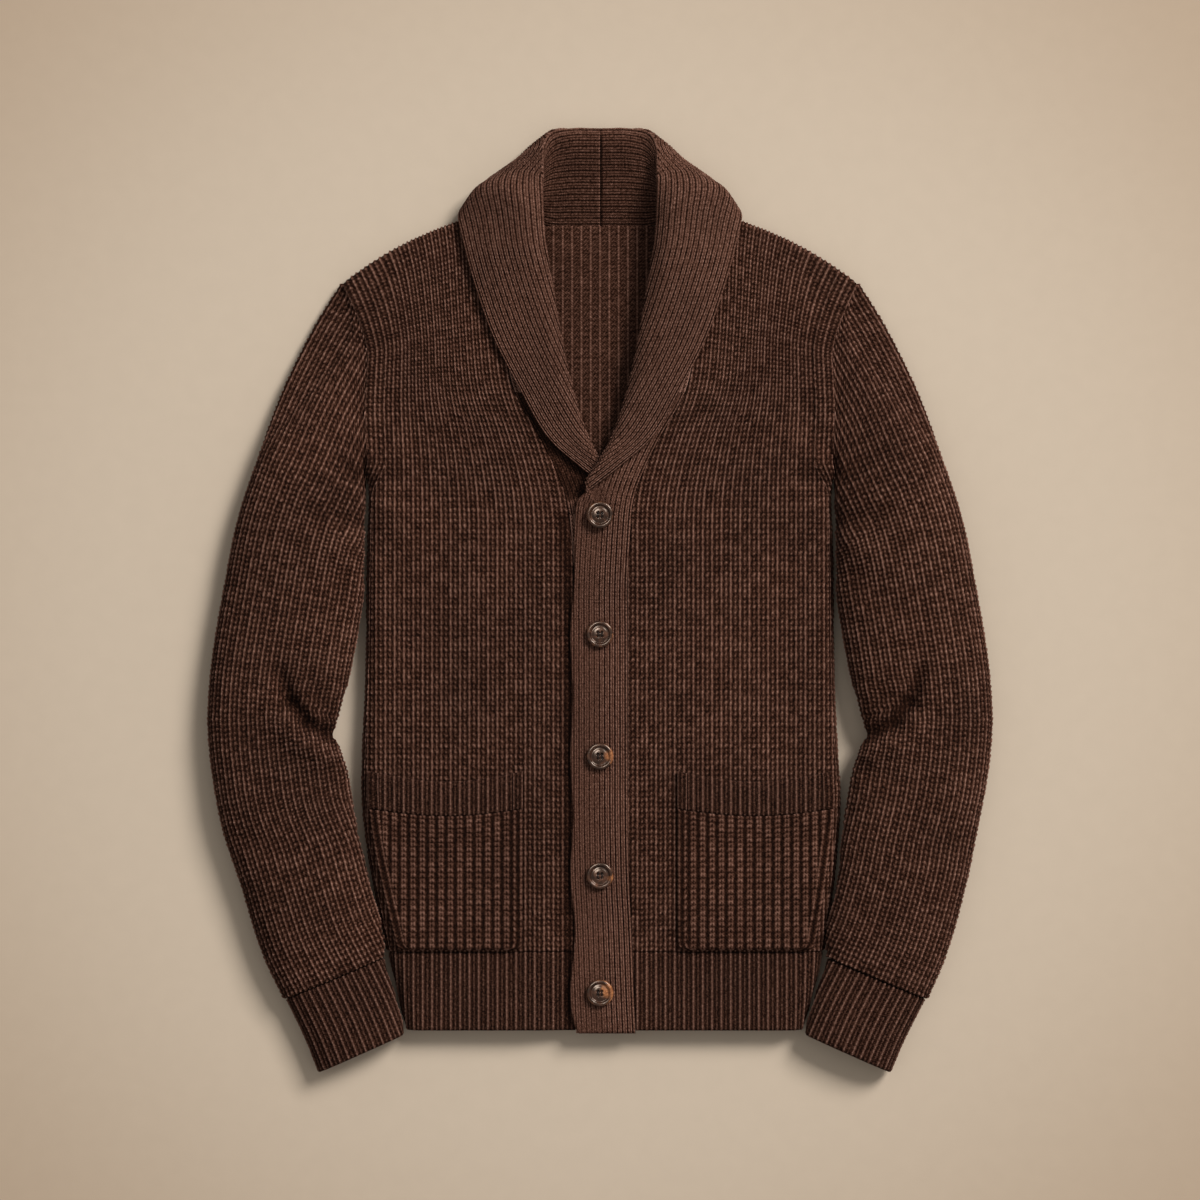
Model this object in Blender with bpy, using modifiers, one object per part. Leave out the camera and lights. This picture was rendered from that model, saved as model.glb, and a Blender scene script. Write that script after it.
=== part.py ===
"""Shawl collar cardigan in a chunky rib knit, buttoned and laid flat on its back.

Run it with: blender --background --python part.py

Sizes are in millimetres, and the meshes are in metres. +X is the wearer's left, +Y points to the
collar, and z = 0 is the surface that the cardigan lies on. The wearer's left front laps over the right.
"""

import math

import bmesh
import bpy
import numpy as np

MM = 0.001

# Driving dimensions of the cloth
WALL = 3.2  # knit panel between its ribs
RIB = 1.0  # how far a rib stands above the panel
RIB_PITCH = 8.2
TRIM_RIB = 1.2  # the deeper ribs of hem, cuffs and pocket tops
SEAM = 0.4  # gap between two pieces at a seam
ARMHOLE_SEAM = 1.1  # the same, where two curved edges meet
BAND_SEAM = 0.9  # from the edge of the band's middle layer, whose edge leans, to the front

# Heights above the surface
BODY_HEIGHT = 19.5
SHOULDER_HEIGHT = 13.0
LAP_DIP = 3.5  # how far the right front dips to pass under the left band

# The body in plan
HEM_Y = -378.0
HEM_SEAM_Y = -309.0
SHOULDER_Y = 350.0  # the shoulder line where it meets the neck
NECK_X = 88.0
NECK_DROP = 21.5  # from the side of the neck to the back neck seam
SHOULDER_SLOPE = 0.51
SIDE_RUN = 14.0  # the side edge rounds off over this width
SHOULDER_RUN = 6.0
SEAM_TURN = 0.78  # share of the way round the side edge that the front covers
BACK_TURN = 0.18  # and that the back covers

# Buttons, from the collar down
BUTTON_Y = (75.2, -29.5, -136.8, -241.6, -344.5)
BUTTON_RADIUS = 11.8
BUTTON_THICK = 3.4
HOLE_RADIUS = 1.1
HOLE_SPACING = 3.4

POCKET_TOP_Y = -150.0
POCKET_BOTTOM_Y = -307.0
POCKET_INNER_X = 68.0
WELT_DEPTH = 33.0
POCKET_SAG = 9.0
POCKET_PUFF = 1.8  # how far a pocket's middle stands off the front


KNIT_COLOR = (0.085, 0.045, 0.032)
BAND_COLOR = (0.090, 0.048, 0.034)
HORN_COLOR = (0.050, 0.022, 0.014)


def table(names, *rows):
    """A short table: one array for each named column."""
    return dict(zip(names.split(), np.array(rows, float).T))


# Half the body's width. sway moves both edges towards the wearer's left.
SIDE = table(
    "y half sway",
    (-378, 175.0, 4),
    (-308, 192.0, 5),
    (-246, 203.0, 3),
    (-220, 206.5, 2),
    (-172, 210.5, 1),
    (-130, 209.0, 0),
    (-90, 207.0, 0),
    (-30, 205.5, 0),
    (30, 205.0, 0),
    (100, 203.0, 0),
)

# The armhole seam, from the underarm to the shoulder
ARMHOLE = table(
    "y x",
    (100, 204.0),
    (128, 204.5),
    (173, 206.0),
    (200, 204.8),
    (219, 204.4),
    (234, 208.0),
    (258, 217.0),
    (279, 227.0),
)

# One sleeve from armhole to cuff. Each row is a ring seen from above: its outer and inner edge, its height,
# how square its top is, how high its inner edge stands, and how far it follows the armhole's curve.
SLEEVE = table(
    "outer_x outer_y inner_x inner_y height square inner_rise bow sway",
    (227.9, 280, 206.6, 98, 15, 14, 0.5, 1.0, 0),
    (253.4, 238, 207.0, 82, 24, 7, 0.5, 0.7, 0),
    (279.0, 185, 207.4, 60, 31, 4, 0.5, 0.3, 0),
    (297.4, 135, 207.6, 33, 34, 3, 0.5, 0.0, 0),
    (318.0, 74, 208.5, -2, 35, 3, 0.5, 0.0, 0),
    (341.0, -50, 227.5, -94, 35, 3, 0.5, 0.0, 0),
    (344.6, -92, 234.0, -117, 35, 3, 0.5, 0.0, 0),
    (344.8, -114, 229.0, -128, 35, 3, 0.5, 0.0, 0),
    (341.0, -153, 221.0, -154, 35, 3, 0.55, 0.0, 0),
    (331.8, -202, 213.5, -200, 34, 3, 0.55, 0.0, 0),
    (302.0, -308, 194.5, -292, 31, 3, 0.62, 0.0, 4),
    (283.5, -351, 194.5, -313.5, 28, 3, 0.65, 0.0, 5),
)

CUFF = table(
    "outer_x outer_y inner_x inner_y height square inner_rise bow sway",
    (281.5, -350.7, 195.3, -314.3, 26, 3, 0.65, 0.0, 5),
    (264.5, -385, 184.0, -348, 26, 3, 0.65, 0.0, 4.5),
    (252.0, -415.5, 175.5, -381.5, 25, 3, 0.65, 0.0, 4),
)

# The deep crease inside each elbow, from the notch in the sleeve's inner edge
CREASE = table("x y", (232, -120), (252, -104), (274, -78))
CREASE_DEPTH = 9.0
CREASE_WIDTH = 8.0

# Band and collar from the centre back to the top button. Each row is a section through the middle of the
# cloth: seam, middle of the stand, roll line, middle of the fall, free edge, then the radius of the roll
# and how much higher the upper band runs.
COLLAR = table(
    "sx sy sz mx my mz rx ry rz bx by bz fx fy fz roll lift",
    (0.3, 329.6, 1.7, 0.3, 370, 9.8, 0.3, 414.9, 6.0, 0.3, 385, 1.9, 0.3, 353, 1.9, 3.6, 0),
    (25, 329.6, 1.7, 25, 370, 9.8, 25, 414.9, 6.0, 26, 385, 1.9, 28, 353, 1.9, 3.6, 0),
    (44, 330.2, 1.9, 42, 368, 11, 42, 411, 10, 56, 387, 3.4, 58, 358, 1.9, 3.6, 0),
    (61, 336.6, 3.0, 54, 360, 16, 49.5, 397, 18, 78, 385, 8, 88, 362, 2.1, 4.0, 0),
    (75, 345.0, 5.5, 61, 354, 21, 51, 374, 25, 99, 372, 15, 113, 355, 5, 4.5, 0),
    (85, 352.0, 8.5, 67, 349, 23, 51, 348, 27.5, 108, 356, 23, 124, 339, 13, 4.5, 0),
    (87.2, 320, 12.4, 68, 319, 22, 49.5, 319, 27, 90, 321, 28, 121.5, 321, 18.4, 4.5, 0),
    (87.4, 282, 14.6, 64, 280, 19.5, 43, 278, 24.5, 80, 280, 28, 111, 280.5, 19.8, 4.0, 0),
    (84.5, 232, 16.8, 59, 231, 17.5, 34.5, 229, 21.5, 66, 231, 26.5, 94, 232, 22.0, 3.2, 0),
    (75.0, 184, 17.9, 50, 182, 16.0, 24, 181.5, 19, 48, 183, 24.5, 70.5, 185.5, 23.2, 2.8, 0.3),
    (52.4, 143, 17.6, 33, 143, 14.0, 11.5, 144, 15.5, 30, 144.5, 21, 47.5, 145, 23.0, 2.4, 4),
    (39.6, 117, 15.6, 20, 119, 11.0, -1, 121, 12.5, 9, 120.5, 16.0, 19.5, 119, 17.0, 2.2, 10),
    (32.0, 98, 14.6, 10, 99, 10.4, -12, 101.5, 12.2, -8, 102, 14.0, -3.5, 101, 14.2, 1.8, 10.5),
    (28.6, 84, 14.4, 8, 85, 13.0, -6, 86, 13.0, -13, 87, 13.0, -19.5, 88, 13.0, 0, 8),
)

# The button band below the top button: its seam, under and over, and its free edge
PLACKET = table(
    "y under over free",
    (66, 26.0, 27.0, -22.4),
    (15, 22.0, 24.2, -23.0),
    (-29.5, 21.1, 24.2, -26.2),
    (-85, 21.1, 24.2, -24.0),
    (-137, 21.1, 24.3, -26.2),
    (-190, 21.1, 24.4, -23.8),
    (-242, 21.1, 25.4, -26.2),
    (-290, 21.1, 27.6, -22.2),
    (-344.5, 21.1, 29.6, -26.2),
    (-371, 21.1, 30.8, -23.0),
    (-380.5, 21.1, 31.2, -18.5),
)
UNDER_BAND_Z = 14.4
OVER_BAND_Z = 18.3


def ease(value, low, high):
    """0 below low, 1 above high, and a smooth step between."""
    share = np.clip((np.asarray(value, float) - low) / (high - low), 0, 1)
    return share * share * (3 - 2 * share)


def lengths(points):
    """Distance along a line of points, from its first."""
    return np.concatenate([[0], np.cumsum(np.linalg.norm(np.diff(points, axis=0), axis=1))])


def smooth_line(points, places):
    """A smooth curve through the points, read at places from 0 to 1 along it."""
    points = np.asarray(points, float)
    knots = lengths(points) + 1e-4 * np.arange(len(points))
    tangents = np.gradient(points, knots, axis=0)
    fine = np.linspace(0, knots[-1], 300)
    k = np.clip(np.searchsorted(knots, fine, side="right") - 1, 0, len(points) - 2)
    span = (knots[k + 1] - knots[k])[:, None]
    u = (fine - knots[k])[:, None] / span
    curve = (
        (2 * u**3 - 3 * u**2 + 1) * points[k]
        + (u**3 - 2 * u**2 + u) * span * tangents[k]
        + (3 * u**2 - 2 * u**3) * points[k + 1]
        + (u**3 - u**2) * span * tangents[k + 1]
    )
    along = lengths(curve)
    wanted = np.asarray(places) * along[-1]
    return np.stack([np.interp(wanted, along, curve[:, axis]) for axis in range(3)], axis=1)


def unit(vectors):
    return vectors / np.maximum(np.linalg.norm(vectors, axis=-1, keepdims=True), 1e-9)


def rounded_edge(past, run):
    """How far cloth goes on, and what share of the height it drops, at a distance past the start of an edge
    that rounds off over run and turns right under itself, along half an ellipse."""
    turn = np.linspace(0, math.pi, 120)
    forward = run * np.sin(turn)
    share = (1 - np.cos(turn)) / 2
    around = lengths(np.stack([forward, BODY_HEIGHT * share], axis=1))
    past = np.clip(past, 0, around[-1])
    return np.interp(past, around, forward), np.interp(past, around, share)


def edge_length(run, share):
    """The cloth that lies round a rounded edge, up to that share of the whole turn."""
    turn = np.linspace(0, math.pi * share, 120)
    outline = np.stack([run * np.sin(turn), BODY_HEIGHT * (1 - np.cos(turn)) / 2], axis=1)
    return lengths(outline)[-1]


def side_x(y, side):
    """Distance from the centre line to the body's side edge. side is 1 for the wearer's left."""
    return np.interp(y, SIDE["y"], SIDE["half"]) + side * np.interp(y, SIDE["y"], SIDE["sway"])


def body_height(t):
    return BODY_HEIGHT - (BODY_HEIGHT - SHOULDER_HEIGHT) * ease(t, 180, SHOULDER_Y)


def body_surface(s, t, side, front, dip=0.0):
    """A point on the outside of the body. s is the distance from the centre line along the cloth, and t the
    height on the cloth. Above the underarm the cloth runs on flat to the armhole, and below it the cloth
    rounds under the side. The top rows slope with the shoulder."""
    wrapped = 1 - ease(t, 92, 124)
    start = side_x(t, side) - SIDE_RUN
    go, share = rounded_edge(s - start, SIDE_RUN)
    x = wrapped * (np.minimum(s, start) + go) + (1 - wrapped) * s
    drop = wrapped * share
    tops = ease(s, NECK_X - 6, NECK_X + 4)
    top_start = SHOULDER_Y - SHOULDER_RUN
    go, share = rounded_edge(t - top_start, SHOULDER_RUN)
    y = tops * (np.minimum(t, top_start) + go) + (1 - tops) * t
    drop = np.maximum(drop, tops * share)
    y = y - SHOULDER_SLOPE * np.maximum(s - NECK_X, 0) * ease(t, 150, SHOULDER_Y)
    y = y - NECK_DROP * (1 - ease(s, 44, NECK_X)) * ease(t, 270, SHOULDER_Y) * (not front)
    height = body_height(t) - dip * (1 - ease(s, 24, 62)) * (1 - ease(t, 70, 150))
    z = height * (1 - drop) if front else body_height(t) * drop
    return np.stack([x, y, z + 0 * x], axis=-1)


def with_normals(surface, s, t):
    """Points of a surface and the directions that point out of it."""
    points = surface(s, t)
    along = surface(s + 0.3, t) - surface(s - 0.3, t)
    up = surface(s, t + 0.3) - surface(s, t - 0.3)
    return points, unit(np.cross(along, up))


def armhole_s(t):
    """The cloth distance at which a row of the body meets the armhole."""
    s = np.full(np.shape(t), 205.0)
    for _ in range(12):
        y = t - SHOULDER_SLOPE * (s - NECK_X) * ease(t, 150, SHOULDER_Y)
        s = np.interp(y, ARMHOLE["y"], ARMHOLE["x"])
    return s


def outer_edge_s(t, side, share):
    """The cloth distance of a panel's outer edge: the side seam, then the armhole."""
    side_seam = side_x(t, side) - SIDE_RUN + edge_length(SIDE_RUN, share)
    return side_seam + (armhole_s(t) - side_seam) * ease(t, 92, 124)


def zipped(a, a_places, b, b_places):
    """Triangles between two rows of points: each step is taken on the row that is behind."""
    faces = []
    i = j = 0
    while i < len(a) - 1 or j < len(b) - 1:
        if j == len(b) - 1 or (i < len(a) - 1 and a_places[i + 1] <= b_places[j + 1]):
            faces.append((a[i], a[i + 1], b[j]))
            i += 1
        else:
            faces.append((a[i], b[j + 1], b[j]))
            j += 1
    return faces


def surface_of(name, color, roughness):
    """A plain material."""
    material = bpy.data.materials.new(name)
    material.use_nodes = True
    shader = material.node_tree.nodes["Principled BSDF"]
    shader.inputs["Base Color"].default_value = (*color, 1)
    shader.inputs["Roughness"].default_value = roughness
    shader.inputs["Metallic"].default_value = 0
    return material


def wall(name, outer, inner, material, ring=False):
    """A closed wall between two skins. Each skin is a list of rows, and a row is (places, points), where
    places say how far across each point lies. A ring's rows close on themselves: they have one place more,
    for the first point met again."""
    points = []
    skins = []
    for skin in (outer, inner):
        rows = []
        for places, row in skin:
            start = len(points)
            ids = list(range(start, start + len(row)))
            points.extend(row)
            rows.append((ids + [start] * ring, list(places)))
        skins.append(rows)
    faces = []
    for rows in skins:
        for (a, a_places), (b, b_places) in zip(rows, rows[1:]):
            faces += zipped(a, a_places, b, b_places)
    for end in (0, -1):
        faces += zipped(*skins[0][end], *skins[1][end])
    if not ring:
        steps = list(range(len(outer)))
        for end in (0, -1):
            edges = [[ids[end] for ids, _ in rows] for rows in skins]
            faces += zipped(edges[0], steps, edges[1], steps)
    mesh = bpy.data.meshes.new(name)
    mesh.from_pydata([tuple(MM * float(c) for c in p) for p in points], [], faces)
    body = bmesh.new()
    body.from_mesh(mesh)
    bmesh.ops.recalc_face_normals(body, faces=body.faces)
    if body.calc_volume(signed=True) < 0:
        bmesh.ops.reverse_faces(body, faces=body.faces)
    body.to_mesh(mesh)
    body.free()
    return placed(name, mesh, material)


def placed(name, mesh, material):
    piece = bpy.data.objects.new(name, mesh)
    mesh.materials.append(material)
    bpy.data.collections["shawl_collar_cardigan"].objects.link(piece)
    return piece


def rib_places(low, high, pitch):
    """Places across a row: both edges, and a ridge and a groove for each rib between them."""
    half = pitch / 2
    steps = np.arange(math.ceil((low + 1.5) / half), math.floor((high - 1.5) / half) + 1)
    return np.concatenate([[low], steps * half, [high]]), np.concatenate([[0], steps % 2, [0]])


def plain_places(low, high, start):
    """Places for the plain side of a panel: wide steps, and short ones round the side edge."""
    flat = np.linspace(low, start, 5)[:-1]
    return np.concatenate([flat, np.linspace(start, high, 5)])


def panel_rows(surface, edges, rows, rib, sink=0.0):
    """The ribbed outside and the plain inside of a front panel. edges gives a row's two ends."""
    outer, inner = [], []
    for t in rows:
        low, high = edges(t)
        places, ridge = rib_places(low, high, RIB_PITCH)
        points, normals = with_normals(surface, places, np.full_like(places, t))
        outer.append((places, points + normals * (ridge * rib - sink)[:, None]))
        places = plain_places(low, high, min(high - 20, side_x(t, 0) - SIDE_RUN))
        points, normals = with_normals(surface, places, np.full_like(places, t))
        inner.append((places, points - normals * (WALL + sink)))
    return outer, inner


def mirrored(rows, side):
    """The same rows on the side asked for. side is 1 for the wearer's left."""
    turn = np.array([side, 1, 1])
    return [(places, points * turn) for places, points in rows]


def front_surface(side):
    dip = LAP_DIP if side < 0 else 0.0
    return lambda s, t: body_surface(s, t, side, True, dip)


def front_edges(side):
    """The ends of a front's row: its seam with the band, and its side seam or armhole."""
    seam_y = np.concatenate([[SHOULDER_Y], COLLAR["sy"][6:], PLACKET["y"]])[::-1]
    seam_x = np.concatenate([[NECK_X], COLLAR["sx"][6:], PLACKET["over" if side > 0 else "under"]])[::-1]
    return lambda t: (
        float(np.interp(t, seam_y, seam_x)) + BAND_SEAM,
        float(outer_edge_s(t, side, SEAM_TURN)),
    )


SIDES = (("left", 1), ("right", -1))
FRONT_ROWS = (-220, -172, -110, -20, 66, 84, 98, 117, 143, 184, 208, 232, 258, 282, 320, 341, 347)


def make_fronts(material):
    shoulder_end = SHOULDER_Y - SHOULDER_RUN + edge_length(SHOULDER_RUN, SEAM_TURN)
    rows = (HEM_SEAM_Y + SEAM / 2, *FRONT_ROWS, SHOULDER_Y + 3, shoulder_end)
    for word, side in SIDES:
        outer, inner = panel_rows(front_surface(side), front_edges(side), rows, RIB)
        wall(f"front_{word}", mirrored(outer, side), mirrored(inner, side), material)


def make_front_hems(material):
    rows = (HEM_SEAM_Y - SEAM / 2, -340, HEM_Y + 4, HEM_Y)
    for word, side in SIDES:
        outer, inner = panel_rows(front_surface(side), front_edges(side), rows, TRIM_RIB, 0.6)
        wall(f"hem_front_{word}", mirrored(outer, side), mirrored(inner, side), material)


def back_rows(rows, ribbed):
    """The plain underside of the back, and its upper side, which is ribbed where the neck shows it."""
    under, upper = [], []
    plain = np.array([-140, -NECK_X, -66, -44, 44, 66, NECK_X, 140], float)
    steps = np.arange(-15, 16)
    ribs = np.concatenate([[-140, -NECK_X], steps * RIB_PITCH / 2, [NECK_X, 140]])
    for t in rows:
        turned = []
        for side in (-1, 1):
            end = float(outer_edge_s(t, side, BACK_TURN))
            turned.append(np.linspace(min(side_x(t, side) - SIDE_RUN, end - 6), end, 4))
        for skin, lift in ((under, 0.0), (upper, WALL)):
            shown = lift > 0 and ribbed and t > 110
            middle = ribs if shown else plain
            ridge = np.concatenate([[0, 0], steps % 2, [0, 0]]) if shown else 0 * plain
            places = np.concatenate([-turned[0][::-1], middle, turned[1]])
            ridge = np.concatenate([np.zeros(4), ridge, np.zeros(4)])
            side = np.where(places < 0, -1, 1)
            surface = lambda s, t, side=side: body_surface(s, t, side, False)
            points, normals = with_normals(surface, np.abs(places), np.full_like(places, t))
            points = points + normals * (lift + 0.6 * ridge)[:, None]
            skin.append((places, points * np.stack([side, side * side, side * side], axis=1)))
    return under, upper


BACK_ROWS = (-220, -172, -110, -20, 84, 98, 117, 143, 184, 208, 232, 258, 282, 320, 341)


def make_back(material):
    shoulder_end = SHOULDER_Y - SHOULDER_RUN + edge_length(SHOULDER_RUN, BACK_TURN)
    rows = (HEM_SEAM_Y + SEAM / 2, *BACK_ROWS, shoulder_end)
    under, upper = back_rows(rows, True)
    wall("back", under, upper, material)


def make_back_hem(material):
    under, upper = back_rows((HEM_SEAM_Y - SEAM / 2, -340, HEM_Y), False)
    wall("hem_back", under, upper, material)


def near_line(points, line):
    """Distance of points from a line in plan, and how far along it, from 0 to 1, they are."""
    ends = np.stack([line["x"], line["y"]], axis=1)
    fine = smooth_line(np.column_stack([ends, 0 * ends[:, 0]]), np.linspace(0, 1, 40))[:, :2]
    gaps = np.linalg.norm(points[:, None, :2] - fine[None], axis=2)
    nearest = gaps.argmin(axis=1)
    return gaps[np.arange(len(points)), nearest], nearest / 39


def crease(points, topness):
    """How deep the elbow's crease presses into the top of the sleeve."""
    gap, along = near_line(points, CREASE)
    return CREASE_DEPTH * topness * (1 - along) ** 0.7 * np.exp(-((gap / CREASE_WIDTH) ** 2))


def ring_outline(rings, k, side):
    """A ring of a sleeve or cuff, finely: points from its inner edge over the top to its outer edge and back
    underneath, the directions out of it, and places across, which are 0 at the outer edge."""
    ring = {name: column[k] for name, column in rings.items()}
    outer = np.array([ring["outer_x"] + side * ring["sway"], ring["outer_y"]])
    inner = np.array([ring["inner_x"] + side * ring["sway"], ring["inner_y"]])
    turn = np.linspace(0, math.pi, 160)
    across = np.concatenate([-np.cos(turn), np.cos(turn)[1:]])
    top = np.arange(len(across)) < len(turn)
    share = (across + 1) / 2
    seam_y = inner[1] + share * (outer[1] - inner[1])
    bulge = np.interp(seam_y, ARMHOLE["y"], ARMHOLE["x"]) + ARMHOLE_SEAM
    straight_x = inner[0] + share * (outer[0] - inner[0])
    follow = ring["bow"] * ease(share, 0, 0.12) * (1 - ease(share, 0.98, 1))
    body = BODY_HEIGHT + (SHOULDER_HEIGHT - BODY_HEIGHT) * ease(share, 0.3, 1)
    height = ring["bow"] * body + (1 - ring["bow"]) * ring["height"]
    middle = height * (ring["inner_rise"] + (0.42 - ring["inner_rise"]) * share)
    over = np.sqrt(np.maximum(1 - np.abs(across) ** ring["square"], 0))
    under = np.maximum(1 - np.sqrt(np.maximum(1 - across**8, 0)) - 0.005, 0)
    z = np.where(top, middle + (height - middle) * over, middle * under)
    points = np.column_stack([straight_x + follow * (bulge - straight_x), seam_y, z])
    way = (outer - inner) / np.linalg.norm(outer - inner)
    flat = np.column_stack([(points[:, :2] - inner) @ way, z])
    slope = unit(np.gradient(flat, axis=0))
    normals = np.column_stack([-slope[:, 1:] * way, slope[:, 0]])
    points[:, 2] -= crease(points, top * over)
    nearby = [max(k - 1, 0), min(k + 1, len(rings["sway"]) - 1)]
    middles = [
        np.array([rings["outer_x"][i] + rings["inner_x"][i], rings["outer_y"][i] + rings["inner_y"][i]])
        for i in nearby
    ]
    down = unit(middles[1] - middles[0])
    squareness = abs(way[0] * down[1] - way[1] * down[0])
    around = lengths(flat) * squareness
    return points, normals, around - around[len(turn) - 1]


def read_at(places, wanted, values):
    return np.stack([np.interp(wanted, places, values[:, axis]) for axis in range(3)], axis=1)


def tube(name, rings, side, rib, material):
    """A sleeve or cuff: ribbed on top, plain underneath and inside."""
    outer, inner = [], []
    for k in range(len(rings["sway"])):
        points, normals, around = ring_outline(rings, k, side)
        places, ridge = rib_places(around[0], 0, RIB_PITCH)
        below = around[-1] * np.array([0.04, 0.12, 0.5, 0.88, 0.96])
        places = np.concatenate([places, below])
        ridge = np.concatenate([ridge, np.zeros(len(below))])
        row = read_at(around, places, points) + read_at(around, places, normals) * (rib * ridge)[:, None]
        outer.append(([*places, around[-1]], row))
        plain = (1 - np.cos(np.linspace(0, math.pi, 9))) / 2
        places = np.concatenate([around[0] * plain[::-1], around[-1] * plain[1:-1:2]])
        row = read_at(around, places, points) - read_at(around, places, normals) * WALL
        inner.append(([*places, around[-1]], row))
    return wall(name, mirrored(outer, side), mirrored(inner, side), material, ring=True)


def make_sleeves(sleeve_knit, cuff_knit):
    for word, side in SIDES:
        tube(f"sleeve_{word}", SLEEVE, side, RIB, sleeve_knit)
        tube(f"cuff_{word}", CUFF, side, TRIM_RIB, cuff_knit)


def collar_controls(side):
    """Seven guide points across the band at each of its sections: the seam, the stand, three round the roll,
    the fall and the free edge. It is worked out for the +X side."""
    c = COLLAR
    seam, stand, roll, fall, free = (
        np.stack([c[f"{letter}x"], c[f"{letter}y"], c[f"{letter}z"]], axis=1) for letter in "smrbf"
    )
    dip = LAP_DIP if side < 0 else 0.0
    on_front = c["sy"] < 325
    joined = body_surface(seam[:, 0] + SEAM, seam[:, 1], side, True, dip)[:, 2] - WALL / 2
    seam[:, 2] = np.where(on_front, joined, seam[:, 2])
    lift = np.outer(c["lift"], [0, 0, 1]) * (side > 0)
    stand, roll, fall, free = stand + lift, roll + lift, fall + lift, free + lift
    away = unit((stand + fall) / 2 - roll)
    gap = fall - stand
    apart = unit(gap - (gap * away).sum(axis=1, keepdims=True) * away)
    radius = c["roll"][:, None]
    before = roll + radius * (1.1 * away - apart)
    after = roll + radius * (1.1 * away + apart)
    collar = np.stack([seam, stand, before, roll, after, fall, free], axis=1)
    seam_x = PLACKET["over" if side > 0 else "under"]
    free_x = PLACKET["free"] if side > 0 else np.full(len(seam_x), -25.0)
    z = OVER_BAND_Z if side > 0 else UNDER_BAND_Z
    shares = np.array([0, 0.3, 0.55, 0.65, 0.75, 0.86, 1])
    x = seam_x[:, None] + (free_x - seam_x)[:, None] * shares
    placket = np.stack([x, PLACKET["y"][:, None] + 0 * x, z + 0 * x], axis=2)
    return np.concatenate([collar, placket])


def band_point(controls, k, shares):
    """Points across the band at section k, which may lie between two rows of the tables."""
    low = int(min(max(math.floor(k), 0), len(controls) - 2))
    u = k - low
    slopes = np.gradient(controls, axis=0)
    guide = (
        (2 * u**3 - 3 * u**2 + 1) * controls[low]
        + (u**3 - 2 * u**2 + u) * slopes[low]
        + (3 * u**2 - 2 * u**3) * controls[low + 1]
        + (u**3 - u**2) * slopes[low + 1]
    )
    points = smooth_line(guide, shares)
    points[:, 2] = np.maximum(points[:, 2], WALL / 2 + 0.1)
    return points


def band_row(controls, k, shares):
    """Points across the band, and the directions out of the face that shows on the collar."""
    low = np.clip(shares - 0.004, 0, 1)
    high = np.clip(shares + 0.004, 0, 1)
    across = band_point(controls, k, high) - band_point(controls, k, low)
    last = len(controls) - 1
    along = band_point(controls, min(k + 0.04, last), shares) - band_point(controls, max(k - 0.04, 0), shares)
    return band_point(controls, k, shares), unit(np.cross(along, across))


COLLAR_RIBS = 22
PLACKET_RIB_PITCH = 3.9
COLLAR_ROWS = (0, 1, 2, 2.5, 3, 3.5, 4, 4.5, 5, 5.5, 6, 7, 8, 9, 10, 10.5, 11, 12, 13)


def make_bands(material):
    bands = {}
    ribbed = np.linspace(0, 1, 2 * COLLAR_RIBS + 1)
    plain = np.linspace(0, 1, 12)
    for word, side in SIDES:
        controls = collar_controls(side)
        rows = [*COLLAR_ROWS, *range(len(COLLAR["sx"]), len(controls))]
        face, back = [], []
        for k in rows:
            collar = k < len(COLLAR["sx"])
            face_places = ribbed if collar else np.linspace(0, 1, 6)
            points, normals = band_row(controls, k, face_places)
            ridge = np.zeros(len(face_places))
            if collar:
                ridge = (np.arange(len(ribbed)) % 2) * ease(points[:, 2], 4, 9)
            face.append((face_places, points + normals * (WALL / 2 + 0.7 * ridge)[:, None]))
            back_places, ridge = plain, np.zeros(len(plain))
            if not collar and side > 0:
                ribs = np.arange(1, 14) * PLACKET_RIB_PITCH / 2 / 50
                back_places = np.concatenate([[0], ribs, [0.7, 0.88, 1]])
                ridge = np.concatenate([[0], np.arange(1, 14) % 2, [0, 0, 0]])
            points, normals = band_row(controls, k, back_places)
            back.append((back_places, points - normals * (WALL / 2 + 0.6 * ridge)[:, None]))
        bands[side] = wall(f"band_{word}", mirrored(face, side), mirrored(back, side), material)
    return bands


def pocket_edge(t, side):
    """Where a pocket's outer edge lies on the cloth. It keeps just clear of the sleeve lower down."""
    return side_x(t, side) - SIDE_RUN + 4.5 + 2.5 * ease(t, -300, -180)


def patch_rows(side, rows, rib, wall_thick, top_sag):
    """A patch that lies on the front: the front's own points moved out."""
    surface = front_surface(side)
    outer, inner = [], []
    for t in rows:
        low, high = POCKET_INNER_X, float(pocket_edge(t, side))
        ribbed, ridge = rib_places(low, high, RIB_PITCH)
        plain = plain_places(low, high, float(side_x(t, side)) - SIDE_RUN)
        for skin, places, out in ((outer, ribbed, wall_thick), (inner, plain, 0.0)):
            share = (places - low) / (high - low)
            hang = np.sin(math.pi * share)
            at = t - top_sag * hang * ease(t, POCKET_TOP_Y - 90, POCKET_TOP_Y)
            puff = POCKET_PUFF * hang * ease(t, POCKET_BOTTOM_Y, POCKET_TOP_Y)
            points, normals = with_normals(surface, places, at)
            raised = out + (rib * ridge if skin is outer else 0)
            skin.append((places, points + normals * (RIB + SEAM + puff + raised)[:, None]))
    return mirrored(outer, side), mirrored(inner, side)


def make_pockets(pocket_knit, welt_knit):
    seam = POCKET_TOP_Y - WELT_DEPTH
    for word, side in SIDES:
        rows = (POCKET_BOTTOM_Y, -220, seam - SEAM / 2)
        wall(f"pocket_{word}", *patch_rows(side, rows, 0.8, 2.6, POCKET_SAG), pocket_knit)
        rows = (seam + SEAM / 2, -165, POCKET_TOP_Y)
        wall(f"welt_{word}", *patch_rows(side, rows, TRIM_RIB, 2.8, POCKET_SAG), welt_knit)


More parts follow.
